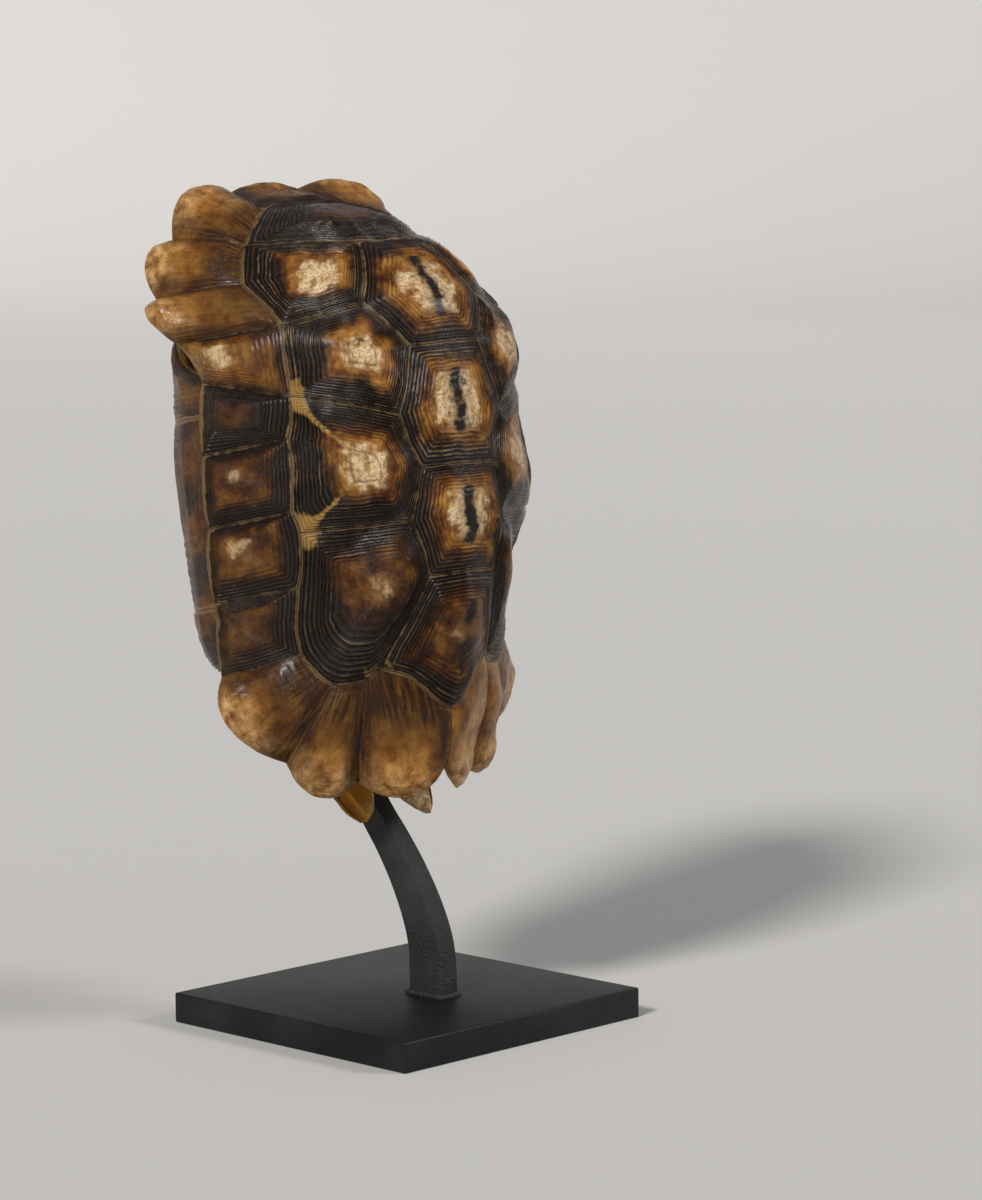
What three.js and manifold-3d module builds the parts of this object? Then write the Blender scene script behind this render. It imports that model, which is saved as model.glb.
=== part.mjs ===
import * as THREE from 'three'
import { mergeVertices } from 'three/addons/utils/BufferGeometryUtils.js'
import Module from 'manifold-3d'

// Spurred tortoise shell hung head-down on a curved steel bar with a square plate.
// Millimetres. Origin: centre of the underside of the plate. +Z up, plate sides along X and Y.

const wasm = await Module()
wasm.setup()

// ---------- stand ----------
const PLATE_SIDE = 120
const PLATE_THICK = 11
const PLATE_CHAMFER = 0.6
const BAR_THICK = 8.2
const BAR_X = 2
const BAR_ARRIS = 0.9
const WELD_REACH = 2.2
// stations of the bar: [y, z, width in the plane of the bend]
const BAR_PATH = [
  [-11.6, 11.3, 17], [-11.6, 19, 17], [-10.5, 30, 16.2], [-6.2, 41.6, 14.6], [0.7, 53.8, 12.9],
  [8.3, 64.3, 11.5], [16, 73.4, 10.6], [24.9, 84.9, 10.1], [34.2, 97, 10], [44, 112.2, 10],
  [52.1, 127.7, 10], [57.9, 143.9, 10], [60.9, 160.3, 10], [62.2, 168.2, 10],
]

// ---------- shell: how it hangs ----------
const SHELL_AT = new THREE.Vector3(0.3, 25.7, 206.4)
const LEAN_BACK_DEG = 9
const TURN_DEG = 8.2
const SIDE_LEAN_DEG = 1.6

// ---------- shell: dome inside the ring of marginal scutes ----------
// shell axes: x to the tail, y to the right flank, z to the back; polar about DOME_X, 0 deg = tail
const DOME_X = -3
const DOME_TOP = 65
// edge of the dome: [degrees from the tail, reach from DOME_X, height]
const DOME_EDGE = [
  [0, 96, -14], [10, 96, -12], [25.5, 87.5, 0.5], [35, 80, 9.5], [45, 74, 25], [64, 56.5, 33.5],
  [80, 51.5, 33], [107, 54.8, 33.5], [120, 58, 30], [133, 63.5, 22.5], [146, 79.5, 15.5],
  [154, 87, 22.5], [161, 84.5, 28.5], [170, 85, 35], [180, 93, 39],
]
const FALL_FRONT = 2.5
const FALL_SIDE = 1.85
const FALL_REAR = 4.3
// shallow hollow of the flank over the shoulder
const SHOULDER_DIP = 6.5
const ARC = 65 * Math.PI / 180
const DOME_WALL = 4
const MOUND = 3
const RIM_MOUND = 1.9

// seam crossings of one flank: [fraction of the way to the dome edge, degrees from the tail]
const X = {
  prow: [0.99, 180], v1: [0.895, 163], m12: [0.975, 161], m23: [1, 155], m34: [0.98, 147],
  m45: [0.99, 133.5], c12: [0.955, 116], m56: [1, 107.5], m67: [0.985, 79.5], c23: [0.94, 64.5],
  c34: [0.865, 44.5], m910: [0.99, 34.5], m1011: [0.99, 24], m11: [1, 10.5], tail: [1, 0],
  a: [0.465, 163], b: [0.35, 142], c: [0.245, 114.5], d: [0.345, 60], e: [0.355, 22.5],
  f: [0.57, 25.5], g: [0.71, 9],
}
const VERTEBRALS = [
  ['prow', 'v1', 'a', '-a', '-v1'],
  ['a', 'b', 'c', '-c', '-b', '-a'],
  ['c', 'd', 'e', '-e', '-d', '-c'],
  ['e', 'f', 'g', '-g', '-f', '-e'],
  ['g', 'm1011', 'm11', 'tail', '-m11', '-m1011', '-g'],
]
const COSTALS = [
  ['v1', 'm12', 'm23', 'm34', 'm45', 'c12', 'b', 'a'],
  ['b', 'c12', 'm56', 'm67', 'c23', 'd', 'c'],
  ['d', 'c23', 'c34', 'f', 'e'],
  ['f', 'c34', 'm910', 'm1011', 'g'],
]

// ---------- shell: marginal scutes, neck to tail, right flank ----------
// seam side of each scute
const RIM_SEAMS = [
  ['prow', 'v1', 'm12'], ['m12', 'm23'], ['m23', 'm34'], ['m34', 'm45'], ['m45', 'c12', 'm56'],
  ['m56', 'm67'], ['m67', 'c23'], ['c23', 'c34'], ['c34', 'm910'], ['m910', 'm1011'],
  ['m1011', 'm11'], ['m11', 'tail', '-m11'],
]
// notch points between neighbouring scutes on the free rim
const NOTCH = [
  [-116, 0, 33], [-118, 23.5, 10.5], [-108, 44.5, -2], [-74.6, 61.3, -11], [-48, 64.3, -5],
  [-22, 64.8, -2.5], [4, 65, 0.5], [30, 62.5, 2.5], [45.4, 64.6, -9], [61.6, 62, -20],
  [84, 48.3, -27], [101, 14.5, -36], [101, -14.5, -36],
]
// outermost point of each scute on the free rim
const TIP = [
  [-125.5, 11.5, 22.5], [-121.5, 37, 5], [-93, 63, -8], [-61.5, 62.8, -9], [-35, 66, -4],
  [-9, 66.3, -1], [17, 65.3, 2], [39, 64.5, -1], [56.7, 71, -15], [77.8, 58, -31],
  [101.5, 38, -31], [103.5, 0, -39],
]
// bow of the surface at the notches, mm: + full, - flared
const BOW = [-4, -6, -6, -3.5, 1.5, 3.5, 3.5, 2, 0, -4, -4, -1, -1]
const LIP_DEPTH = [0, 3.4, 5.4, 5.4, 4.6]
const LIP_ROWS = [1, 0.93, 0.7, 0.35, 0]

// ---------- shell: plastron ----------
const PLASTRON_Z = -36
const PLASTRON_WALL = 4.6
// cross-section stations: [x, half width, height the side turns up]
const PLASTRON = [
  [-134, 16.8, 1.6], [-130, 18.4, 2], [-125, 20, 2], [-119, 22.6, 2.4], [-110, 28, 3], [-100, 35, 4],
  [-89, 41, 5], [-81, 45.5, 7.5], [-76.5, 49.5, 13], [-73, 54, 20], [-70, 57.5, 25], [-66, 59.3, 27.5],
  [-60, 60.3, 29], [-46, 62.2, 34], [-22, 63.3, 39], [4, 63.3, 42], [21, 61.5, 42], [28, 60, 40],
  [32, 57.5, 31], [35.5, 55, 20], [40, 52.5, 11], [46, 50, 7], [56, 45, 5], [66, 38, 4],
  [74, 28, 3.4], [80, 16, 2.6],
]
const SIDE_Y = [0, 0.24, 0.48, 0.7, 0.855, 0.955, 0.995, 1, 0.98]
const SIDE_Z = [0, 0, 0, 0.024, 0.12, 0.3, 0.52, 0.79, 1]
const GULAR_TIP_Z = -3
const FORE_LIFT_FROM = -50
const GULAR_FORK = [[-118, 0], [-122, 3.6], [-127, 6.8], [-131.5, 10.6], [-140, 17.5]]
const ANAL_NOTCH = [[68, 0], [76, 7], [86, 20]]

// ---------- small helpers ----------
const lerp = (a, b, t) => a + (b - a) * t
const V3 = (p) => new THREE.Vector3(p[0], p[1], p[2])
const mix = (a, b, t) => a.clone().lerp(b, t)

function solid(points, faces) {
  const g = new THREE.BufferGeometry()
  g.setAttribute('position', new THREE.Float32BufferAttribute(points.flatMap((p) => [p.x, p.y, p.z]), 3))
  g.setIndex(faces.flat())
  return mergeVertices(g, 1e-3)
}

function toManifold(g) {
  const mesh = new wasm.Mesh({
    numProp: 3,
    vertProperties: new Float32Array(g.attributes.position.array),
    triVerts: new Uint32Array(g.index.array),
  })
  return new wasm.Manifold(mesh)
}

function fromManifold(m) {
  const r = m.getMesh()
  const g = new THREE.BufferGeometry()
  g.setAttribute('position', new THREE.Float32BufferAttribute(r.vertProperties, 3))
  g.setIndex(new THREE.BufferAttribute(new Uint32Array(r.triVerts), 1))
  return g
}

// ---------- dome ----------
// smooth closed curve through the edge stations, column 1 = reach, column 2 = height
function edge(th, column) {
  const deg = Math.abs(th) * 180 / Math.PI
  const n = DOME_EDGE.length - 1
  let k = 0
  while (k < n - 1 && deg >= DOME_EDGE[k + 1][0]) k++
  const [t0, v0] = station(k - 1, column)
  const [t1, v1] = station(k, column)
  const [t2, v2] = station(k + 1, column)
  const [t3, v3] = station(k + 2, column)
  const h = t2 - t1
  const f = (deg - t1) / h
  const in1 = (v2 - v0) / (t2 - t0) * h
  const in2 = (v3 - v1) / (t3 - t1) * h
  const g = f * f * (3 - 2 * f)
  return v1 * (1 - g) + v2 * g + in1 * f * (1 - f) * (1 - f) - in2 * f * f * (1 - f)
}

function station(k, column) {
  const n = DOME_EDGE.length - 1
  if (k < 0) return [-DOME_EDGE[-k][0], DOME_EDGE[-k][column]]
  if (k > n) return [360 - DOME_EDGE[2 * n - k][0], DOME_EDGE[2 * n - k][column]]
  return [DOME_EDGE[k][0], DOME_EDGE[k][column]]
}

function shoulder(th, f) {
  const d = (Math.abs(th) * 180 / Math.PI - 149) / 15
  const e = (f - 0.8) / 0.17
  return Math.exp(-d * d - e * e)
}

function fall(th) {
  const front = Math.pow(Math.max(-Math.cos(th), 0), 2)
  const rear = Math.pow(Math.max(Math.cos(th), 0), 2)
  return FALL_SIDE + (FALL_FRONT - FALL_SIDE) * front + (FALL_REAR - FALL_SIDE) * rear
}

// u,v: flat map of the dome, unit disk, u to the tail and v to the right flank
function dome(u, v) {
  const rho = Math.hypot(u, v)
  const th = Math.atan2(v, u)
  const f = Math.sin(ARC * rho) / Math.sin(ARC)
  const r = edge(th, 1) * f
  const z = DOME_TOP - (DOME_TOP - edge(th, 2)) * Math.pow(f, fall(th)) - SHOULDER_DIP * shoulder(th, f)
  return new THREE.Vector3(DOME_X + r * Math.cos(th), r * Math.sin(th), z)
}

function domeNormal(u, v) {
  const h = 0.01
  const a = dome(u + h, v).sub(dome(u - h, v))
  const b = dome(u, v + h).sub(dome(u, v - h))
  return a.cross(b).normalize()
}

// crossing by name; a leading minus is the same crossing on the left flank
function crossing(name) {
  const left = name.startsWith('-')
  const [rho, deg] = X[left ? name.slice(1) : name]
  const th = deg * Math.PI / 180
  return [rho * Math.cos(th), rho * Math.sin(th) * (left ? -1 : 1)]
}

function alongSeam(names, s) {
  const k = Math.min(Math.floor(s * (names.length - 1) + 1e-9), names.length - 2)
  const f = s * (names.length - 1) - k
  const a = crossing(names[k])
  const b = crossing(names[k + 1])
  return [lerp(a[0], b[0], f), lerp(a[1], b[1], f)]
}

// ---------- band of marginal scutes ----------
function stationControl(k) {
  const seam = k < 12 ? crossing(RIM_SEAMS[k][0]) : crossing('-m11')
  const s = dome(seam[0], seam[1])
  const e = V3(NOTCH[k])
  const before = k === 0 ? V3([NOTCH[1][0], -NOTCH[1][1], NOTCH[1][2]]) : V3(NOTCH[k - 1])
  const after = k === 12 ? V3([NOTCH[10][0], -NOTCH[10][1], NOTCH[10][2]]) : V3(NOTCH[k + 1])
  const out = after.sub(before).cross(e.clone().sub(s)).normalize().negate()
  return mix(s, e, 0.5).addScaledVector(out, BOW[k])
}

// scute k of the right flank, s from its neck side to its tail side, t from seam to rim
function rimPatch(k, s, t) {
  const [u, v] = alongSeam(RIM_SEAMS[k], s)
  const seam = dome(u, v)
  const lobe = 1 - Math.pow(Math.abs(2 * s - 1), 2.2)
  const a = V3(NOTCH[k])
  const b = V3(NOTCH[k + 1])
  const push = V3(TIP[k]).sub(mix(a, b, 0.5))
  const edge = mix(a, b, s).addScaledVector(push, lobe)
  const middle = mix(stationControl(k), stationControl(k + 1), s).addScaledVector(push, 0.35 * lobe)
  const p = seam.multiplyScalar((1 - t) * (1 - t))
  return p.addScaledVector(middle, 2 * t * (1 - t)).addScaledVector(edge, t * t)
}

// whole band, g from 0 (neck notch) over the right flank to 23 (neck notch again)
function band(g, t) {
  const w = ((g % 23) + 23) % 23
  if (w > 12 - 1e-9) {
    const p = band(23 - w, t)
    p.y = -p.y
    return p
  }
  const k = Math.min(Math.floor(w + 1e-9), 11)
  return rimPatch(k, w - k, t)
}

function bandNormal(g, t) {
  const h = 0.3
  const a = band(g + h, t).sub(band(g - h, t))
  const b = band(g, Math.min(t + 0.05, 1)).sub(band(g, Math.max(t - 0.05, 0)))
  return b.cross(a).normalize().negate()
}

// ---------- scutes ----------
const RINGS = [0.42, 0.72, 0.91, 1]
const mound = (f) => Math.pow(1 - f * f, 0.8)

// fan of rings from the middle of the scute out to its seams
function scute(points, faces, loop, centre, place, height) {
  const base = points.length
  const n = loop.length
  points.push(place(centre[0], centre[1], height))
  for (const f of RINGS) {
    for (const q of loop) points.push(place(lerp(centre[0], q[0], f), lerp(centre[1], q[1], f), height * mound(f)))
  }
  for (let i = 0; i < n; i++) {
    const j = (i + 1) % n
    faces.push([base, base + 1 + i, base + 1 + j])
    for (let r = 0; r < RINGS.length - 1; r++) {
      const a = base + 1 + r * n
      const b = a + n
      faces.push([a + i, b + i, b + j], [a + i, b + j, a + j])
    }
  }
}

const SEAM_STEPS = 3
const RIM_STEPS = 6

function domeScute(points, faces, names, flip) {
  const loop = []
  const ends = names.map((n) => (flip ? mirrorName(n) : n))
  if (flip) ends.reverse()
  ends.forEach((n, i) => {
    const a = crossing(n)
    const b = crossing(ends[(i + 1) % ends.length])
    for (let k = 0; k < SEAM_STEPS; k++) loop.push([lerp(a[0], b[0], k / SEAM_STEPS), lerp(a[1], b[1], k / SEAM_STEPS)])
  })
  const centre = [0, 1].map((i) => loop.reduce((t, p) => t + p[i], 0) / loop.length)
  const place = (u, v, h) => dome(u, v).addScaledVector(domeNormal(u, v), h)
  scute(points, faces, loop.reverse(), centre, place, MOUND)
}

const mirrorName = (n) => (n.startsWith('-') ? n.slice(1) : '-' + n)

function rimScute(points, faces, g) {
  const k = g < 12 ? g : 22 - g
  const seamSteps = SEAM_STEPS * (RIM_SEAMS[k].length - 1)
  const loop = []
  for (let i = 0; i < seamSteps; i++) loop.push([i / seamSteps, 0])
  for (let i = 0; i < SEAM_STEPS; i++) loop.push([1, i / SEAM_STEPS])
  for (let i = 0; i < RIM_STEPS; i++) loop.push([1 - i / RIM_STEPS, 1])
  for (let i = 0; i < SEAM_STEPS; i++) loop.push([0, 1 - i / SEAM_STEPS])
  const place = (s, t, h) => band(g + s, t).addScaledVector(bandNormal(g + s, t), h)
  scute(points, faces, loop, [0.5, 0.6], place, RIM_MOUND)
}

function carapace() {
  const points = []
  const faces = []
  VERTEBRALS.forEach((names) => domeScute(points, faces, names, false))
  COSTALS.forEach((names) => domeScute(points, faces, names, false))
  COSTALS.forEach((names) => domeScute(points, faces, names, true))
  for (let g = 0; g < 23; g++) rimScute(points, faces, g)
  innerFace(points, faces)
  return solid(points, faces)
}

// hollow side: rows from the rim under the lip, up the wall and over to the crown
function innerFace(points, faces) {
  const n = 23 * RIM_STEPS
  const rows = []
  LIP_ROWS.forEach((t, r) => {
    rows.push([])
    for (let i = 0; i < n; i++) {
      const g = i / RIM_STEPS
      const p = band(g, t)
      if (t > 0) p.addScaledVector(bandNormal(g, t), -LIP_DEPTH[r])
      else p.addScaledVector(domeNormalAt(p), -LIP_DEPTH[r])
      rows[r].push(p)
    }
  })
  const seam = []
  for (let i = 0; i < n; i++) seam.push(seamAt(i / RIM_STEPS))
  for (const f of [0.82, 0.6, 0.3]) {
    rows.push(seam.map(([u, v]) => dome(u * f, v * f).addScaledVector(domeNormal(u * f, v * f), -DOME_WALL)))
  }
  const base = points.length
  rows.forEach((row) => points.push(...row))
  const top = points.length
  points.push(dome(0, 0).addScaledVector(domeNormal(0, 0), -DOME_WALL))
  for (let i = 0; i < n; i++) {
    const j = (i + 1) % n
    for (let r = 0; r < rows.length - 1; r++) {
      const a = base + r * n
      const b = a + n
      faces.push([a + i, b + j, b + i], [a + i, a + j, b + j])
    }
    faces.push([base + (rows.length - 1) * n + i, base + (rows.length - 1) * n + j, top])
  }
}

function seamAt(g) {
  if (g > 12 - 1e-9) {
    const [u, v] = seamAt(23 - g)
    return [u, -v]
  }
  const k = Math.min(Math.floor(g + 1e-9), 11)
  return alongSeam(RIM_SEAMS[k], g - k)
}

// outward direction at the dome edge, from the middle of the hollow
function domeNormalAt(p) {
  const out = p.clone().sub(new THREE.Vector3(lerp(DOME_X, p.x, 0.45), 0, 0))
  return out.normalize()
}

// ---------- plastron ----------
function plastronZ(x) {
  const d = Math.max(FORE_LIFT_FROM - x, 0) / (FORE_LIFT_FROM + 134)
  return PLASTRON_Z + (GULAR_TIP_Z - PLASTRON_Z) * Math.pow(d, 1.7)
}

function plastron() {
  const points = []
  const faces = []
  const half = SIDE_Y.length
  const n = 4 * half - 2
  for (const [x, w, up] of PLASTRON) {
    const z = plastronZ(x)
    const inner = Math.min(5.2, 0.16 * w)
    const outer = SIDE_Y.map((c, i) => [w * c, z + up * SIDE_Z[i]])
    const rise = Math.max(up - PLASTRON_WALL, 0.3)
    const lining = SIDE_Y.map((c, i) => [(w - inner) * c, z + PLASTRON_WALL + rise * SIDE_Z[i]])
    const right = [...outer, ...lining.reverse()]
    const left = right.slice(1, -1).reverse().map(([y, h]) => [-y, h])
    for (const [y, h] of [...right, ...left]) points.push(new THREE.Vector3(x, y, h))
  }
  for (let k = 0; k < PLASTRON.length - 1; k++) {
    for (let i = 0; i < n; i++) {
      const a = k * n + i
      const b = k * n + ((i + 1) % n)
      faces.push([a, b + n, a + n], [a, b, b + n])
    }
  }
  endCap(faces, 0, half, n, false)
  endCap(faces, (PLASTRON.length - 1) * n, half, n, true)
  const fork = wedge(GULAR_FORK)
  const notch = wedge(ANAL_NOTCH)
  return toManifold(solid(points, faces)).subtract(fork).subtract(notch)
}

// strip of faces between the outer and the lining profile of an end station
function endCap(faces, base, half, n, tail) {
  const top = 2 * half - 1
  for (let i = 0; i < half - 1; i++) {
    const right = [i, i + 1, top - i - 1, top - i]
    const left = [(n - i) % n, top + i, top + i + 1, n - i - 1]
    for (const quad of [right, left]) {
      const [a, b, c, d] = quad.map((q) => base + q)
      if (tail) faces.push([a, b, c], [a, c, d])
      else faces.push([a, c, b], [a, d, c])
    }
  }
}

// upright prism, mirrored about the midline, from its half outline
function wedge(outline) {
  const ring = [...outline, ...outline.slice(1).reverse().map(([x, y]) => [x, -y])]
  const area = ring.reduce((t, p, i) => {
    const q = ring[(i + 1) % ring.length]
    return t + p[0] * q[1] - q[0] * p[1]
  }, 0)
  if (area < 0) ring.reverse()
  return new wasm.CrossSection([ring]).extrude(80).translate([0, 0, -60])
}

// ---------- stand solids ----------
function plate() {
  const h = PLATE_SIDE / 2
  const c = PLATE_CHAMFER
  const rows = [[0, h - c], [c, h], [PLATE_THICK - c, h], [PLATE_THICK, h - c]]
  const points = []
  const faces = []
  for (const [z, r] of rows) {
    const e = r - c
    const ring = [[r, -e], [r, e], [e, r], [-e, r], [-r, e], [-r, -e], [-e, -r], [e, -r]]
    for (const [x, y] of ring) points.push(new THREE.Vector3(x, y, z))
  }
  tube(faces, rows.length, 8)
  return solid(points, faces)
}

function tube(faces, rows, n) {
  for (let r = 0; r < rows - 1; r++) {
    for (let i = 0; i < n; i++) {
      const a = r * n + i
      const b = r * n + ((i + 1) % n)
      faces.push([a, b, b + n], [a, b + n, a + n])
    }
  }
  for (let i = 1; i < n - 1; i++) {
    faces.push([0, i + 1, i])
    faces.push([(rows - 1) * n, (rows - 1) * n + i, (rows - 1) * n + i + 1])
  }
}

function bar() {
  const centre = new THREE.CatmullRomCurve3(BAR_PATH.map(([y, z]) => new THREE.Vector3(0, y, z)), false, 'centripetal')
  const points = []
  const faces = []
  const steps = 36
  const at = [0, 0.006, 0.012]
  for (let i = 1; i <= steps; i++) at.push(lerp(0.02, 1, i / steps))
  for (const t of at) {
    const p = centre.getPoint(t)
    const d = centre.getTangent(t)
    const k = Math.min(Math.floor(t * (BAR_PATH.length - 1)), BAR_PATH.length - 2)
    const w = lerp(BAR_PATH[k][2], BAR_PATH[k + 1][2], t * (BAR_PATH.length - 1) - k)
    const flare = WELD_REACH * Math.pow(Math.max(1 - t / 0.02, 0), 2)
    const a = w / 2 + flare
    const b = BAR_THICK / 2 + flare
    const c = BAR_ARRIS + flare
    const ring = [[b - c, -a], [b, c - a], [b, a - c], [b - c, a], [c - b, a], [-b, a - c], [-b, c - a], [c - b, -a]]
    for (const [x, q] of ring) points.push(new THREE.Vector3(BAR_X + x, p.y + q * d.z, p.z - q * d.y))
  }
  tube(faces, at.length, 8)
  return solid(points, faces)
}

// ---------- assembly ----------
function shell() {
  const whole = toManifold(carapace()).add(plastron())
  const g = fromManifold(whole)
  const hang = new THREE.Matrix4().makeRotationZ(-TURN_DEG * Math.PI / 180)
  hang.multiply(new THREE.Matrix4().makeRotationX(-LEAN_BACK_DEG * Math.PI / 180))
  hang.multiply(new THREE.Matrix4().makeRotationY(-SIDE_LEAN_DEG * Math.PI / 180))
  hang.multiply(new THREE.Matrix4().set(0, -1, 0, 0, 0, 0, -1, 0, 1, 0, 0, 0, 0, 0, 0, 1))
  hang.setPosition(SHELL_AT)
  return g.applyMatrix4(hang)
}

function node(name, geometry, colour, roughness, metalness) {
  const material = new THREE.MeshStandardMaterial({ color: colour, roughness, metalness, flatShading: true })
  const mesh = new THREE.Mesh(geometry, material)
  mesh.name = name
  geometry.computeVertexNormals()
  return mesh
}

const part = new THREE.Group()
part.name = 'tortoise_shell_on_stand'
part.add(node('shell', shell(), 0x8a5a2b, 0.42, 0))
part.add(node('bar', bar(), 0x26272a, 0.62, 0.5))
part.add(node('base_plate', plate(), 0x121315, 0.5, 0.6))

export default part
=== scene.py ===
import math

import bpy
import numpy as np
from mathutils import Matrix, Vector


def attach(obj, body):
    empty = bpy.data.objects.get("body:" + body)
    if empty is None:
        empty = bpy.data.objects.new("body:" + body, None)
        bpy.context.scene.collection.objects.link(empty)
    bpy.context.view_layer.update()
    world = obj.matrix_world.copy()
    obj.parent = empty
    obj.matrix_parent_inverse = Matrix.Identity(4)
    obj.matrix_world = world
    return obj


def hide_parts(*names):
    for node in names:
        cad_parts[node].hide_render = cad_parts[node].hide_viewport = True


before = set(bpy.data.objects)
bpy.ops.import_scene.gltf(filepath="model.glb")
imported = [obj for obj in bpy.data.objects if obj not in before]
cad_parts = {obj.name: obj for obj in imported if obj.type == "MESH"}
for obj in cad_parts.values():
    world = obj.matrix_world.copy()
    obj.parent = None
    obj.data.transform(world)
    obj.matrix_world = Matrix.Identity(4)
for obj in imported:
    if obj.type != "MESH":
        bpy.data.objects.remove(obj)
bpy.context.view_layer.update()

MM = 0.001
TAU = 2 * math.pi

# ---------------------------------------------------------------- stand
PLATE_SIDE = 120
PLATE_THICK = 11
PLATE_EDGE = 0.7
BAR_THICK = 8.2
BAR_X = 2
BAR_EDGE = 1.0
WELD_STEPS = 168
WELD_SIDES = 10
WELD_DROPS = 22
# stations of the bar: y, z, width in the plane of the bend
BAR_PATH = np.array([
    [-11.6, 11.3, 17], [-11.6, 19, 17], [-10.5, 30, 16.2], [-6.2, 41.6, 14.6], [0.7, 53.8, 12.9],
    [8.3, 64.3, 11.5], [16, 73.4, 10.6], [24.9, 84.9, 10.1], [34.2, 97, 10], [44, 112.2, 10],
    [52.1, 127.7, 10], [57.9, 143.9, 10], [60.9, 160.3, 10], [62.2, 168.2, 10]])

# ---------------------------------------------------------------- how the shell hangs
SHELL_AT = (0.3, 25.7, 206.4)
LEAN_BACK = math.radians(9)
TURN = math.radians(8.2)
SIDE_LEAN = math.radians(1.6)

# ---------------------------------------------------------------- dome inside the marginal scutes
DOME_X = -3
DOME_TOP = 65
DOME_EDGE = np.array([
    [0, 96, -14], [10, 96, -12], [25.5, 87.5, 0.5], [35, 80, 9.5], [45, 74, 25], [64, 56.5, 33.5],
    [80, 51.5, 33], [107, 54.8, 33.5], [120, 58, 30], [133, 63.5, 22.5], [146, 79.5, 15.5],
    [154, 87, 22.5], [161, 84.5, 28.5], [170, 85, 35], [180, 93, 39]])
FALL_FRONT = 2.5
FALL_SIDE = 1.85
FALL_REAR = 4.3
SHOULDER_DIP = 6.5
ARC = math.radians(65)
DOME_WALL = 4
MOUND = 3
RIM_MOUND = 1.9

# seam crossings of one flank: fraction of the way to the dome edge, degrees from the tail
CROSSINGS = {
    "prow": (0.99, 180), "v1": (0.895, 163), "m12": (0.975, 161), "m23": (1, 155), "m34": (0.98, 147),
    "m45": (0.99, 133.5), "c12": (0.955, 116), "m56": (1, 107.5), "m67": (0.985, 79.5),
    "c23": (0.94, 64.5), "c34": (0.865, 44.5), "m910": (0.99, 34.5), "m1011": (0.99, 24),
    "m11": (1, 10.5), "tail": (1, 0), "a": (0.465, 163), "b": (0.35, 142), "c": (0.245, 114.5),
    "d": (0.345, 60), "e": (0.355, 22.5), "f": (0.57, 25.5), "g": (0.71, 9)}
VERTEBRALS = [
    ["prow", "v1", "a", "-a", "-v1"], ["a", "b", "c", "-c", "-b", "-a"], ["c", "d", "e", "-e", "-d", "-c"],
    ["e", "f", "g", "-g", "-f", "-e"], ["g", "m1011", "m11", "tail", "-m11", "-m1011", "-g"]]
COSTALS = [
    ["v1", "m12", "m23", "m34", "m45", "c12", "b", "a"], ["b", "c12", "m56", "m67", "c23", "d", "c"],
    ["d", "c23", "c34", "f", "e"], ["f", "c34", "m910", "m1011", "g"]]
RIM_SEAMS = [
    ["prow", "v1", "m12"], ["m12", "m23"], ["m23", "m34"], ["m34", "m45"], ["m45", "c12", "m56"],
    ["m56", "m67"], ["m67", "c23"], ["c23", "c34"], ["c34", "m910"], ["m910", "m1011"],
    ["m1011", "m11"], ["m11", "tail", "-m11"]]
# marginal scutes of the whole rim, and of the right flank with the one over the tail
RIM_SCUTES = 23
RIM_KINDS = 12
NEAR = 1e-9
# free rim: notches between the marginal scutes, and the outermost point of each
NOTCH = np.array([
    [-116, 0, 33], [-118, 23.5, 10.5], [-108, 44.5, -2], [-74.6, 61.3, -11], [-48, 64.3, -5],
    [-22, 64.8, -2.5], [4, 65, 0.5], [30, 62.5, 2.5], [45.4, 64.6, -9], [61.6, 62, -20],
    [84, 48.3, -27], [101, 14.5, -36], [101, -14.5, -36]])
TIP = np.array([
    [-125.5, 11.5, 22.5], [-121.5, 37, 5], [-93, 63, -8], [-61.5, 62.8, -9], [-35, 66, -4],
    [-9, 66.3, -1], [17, 65.3, 2], [39, 64.5, -1], [56.7, 71, -15], [77.8, 58, -31],
    [101.5, 38, -31], [103.5, 0, -39]])
BOW = [-4, -6, -6, -3.5, 1.5, 3.5, 3.5, 2, 0, -4, -4, -1, -1]
LIP = np.array([[0, 4.6], [0.35, 5.4], [0.7, 5.4], [0.93, 3.4], [1, 0]])

# growth centre of each scute: fraction of the way to the dome edge, degrees from the tail
VERTEBRAL_CORES = [(0.60, 178), (0.21, 178), (0.13, 3), (0.475, 1), (0.86, 2)]
COSTAL_CORES = [(0.524, 150.7), (0.506, 98), (0.503, 41), (0.718, 25.6)]
# worn early rings and sharp late rings of each scute
VERTEBRAL_RINGS = [(3, 8), (3, 8), (3, 8), (3, 8), (3, 12)]
COSTAL_RINGS = [(4, 9), (4, 9), (3, 9), (3, 8)]
PLASTRAL_RINGS = [(2, 5), (2, 7), (2, 6), (3, 8), (2, 7), (2, 5)]
# the dark line down the back, the yellow spokes, and the way in which the amber field leans
VERTEBRAL_STRIPE = [0.8, 1, 1, 1, 0]
COSTAL_SPOKES = [0, 1.0, 0.35, 0]
COSTAL_LEAN = [(0.26, -0.10), (0.08, -0.2), (0.05, -0.22), (0, -0.2)]
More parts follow.
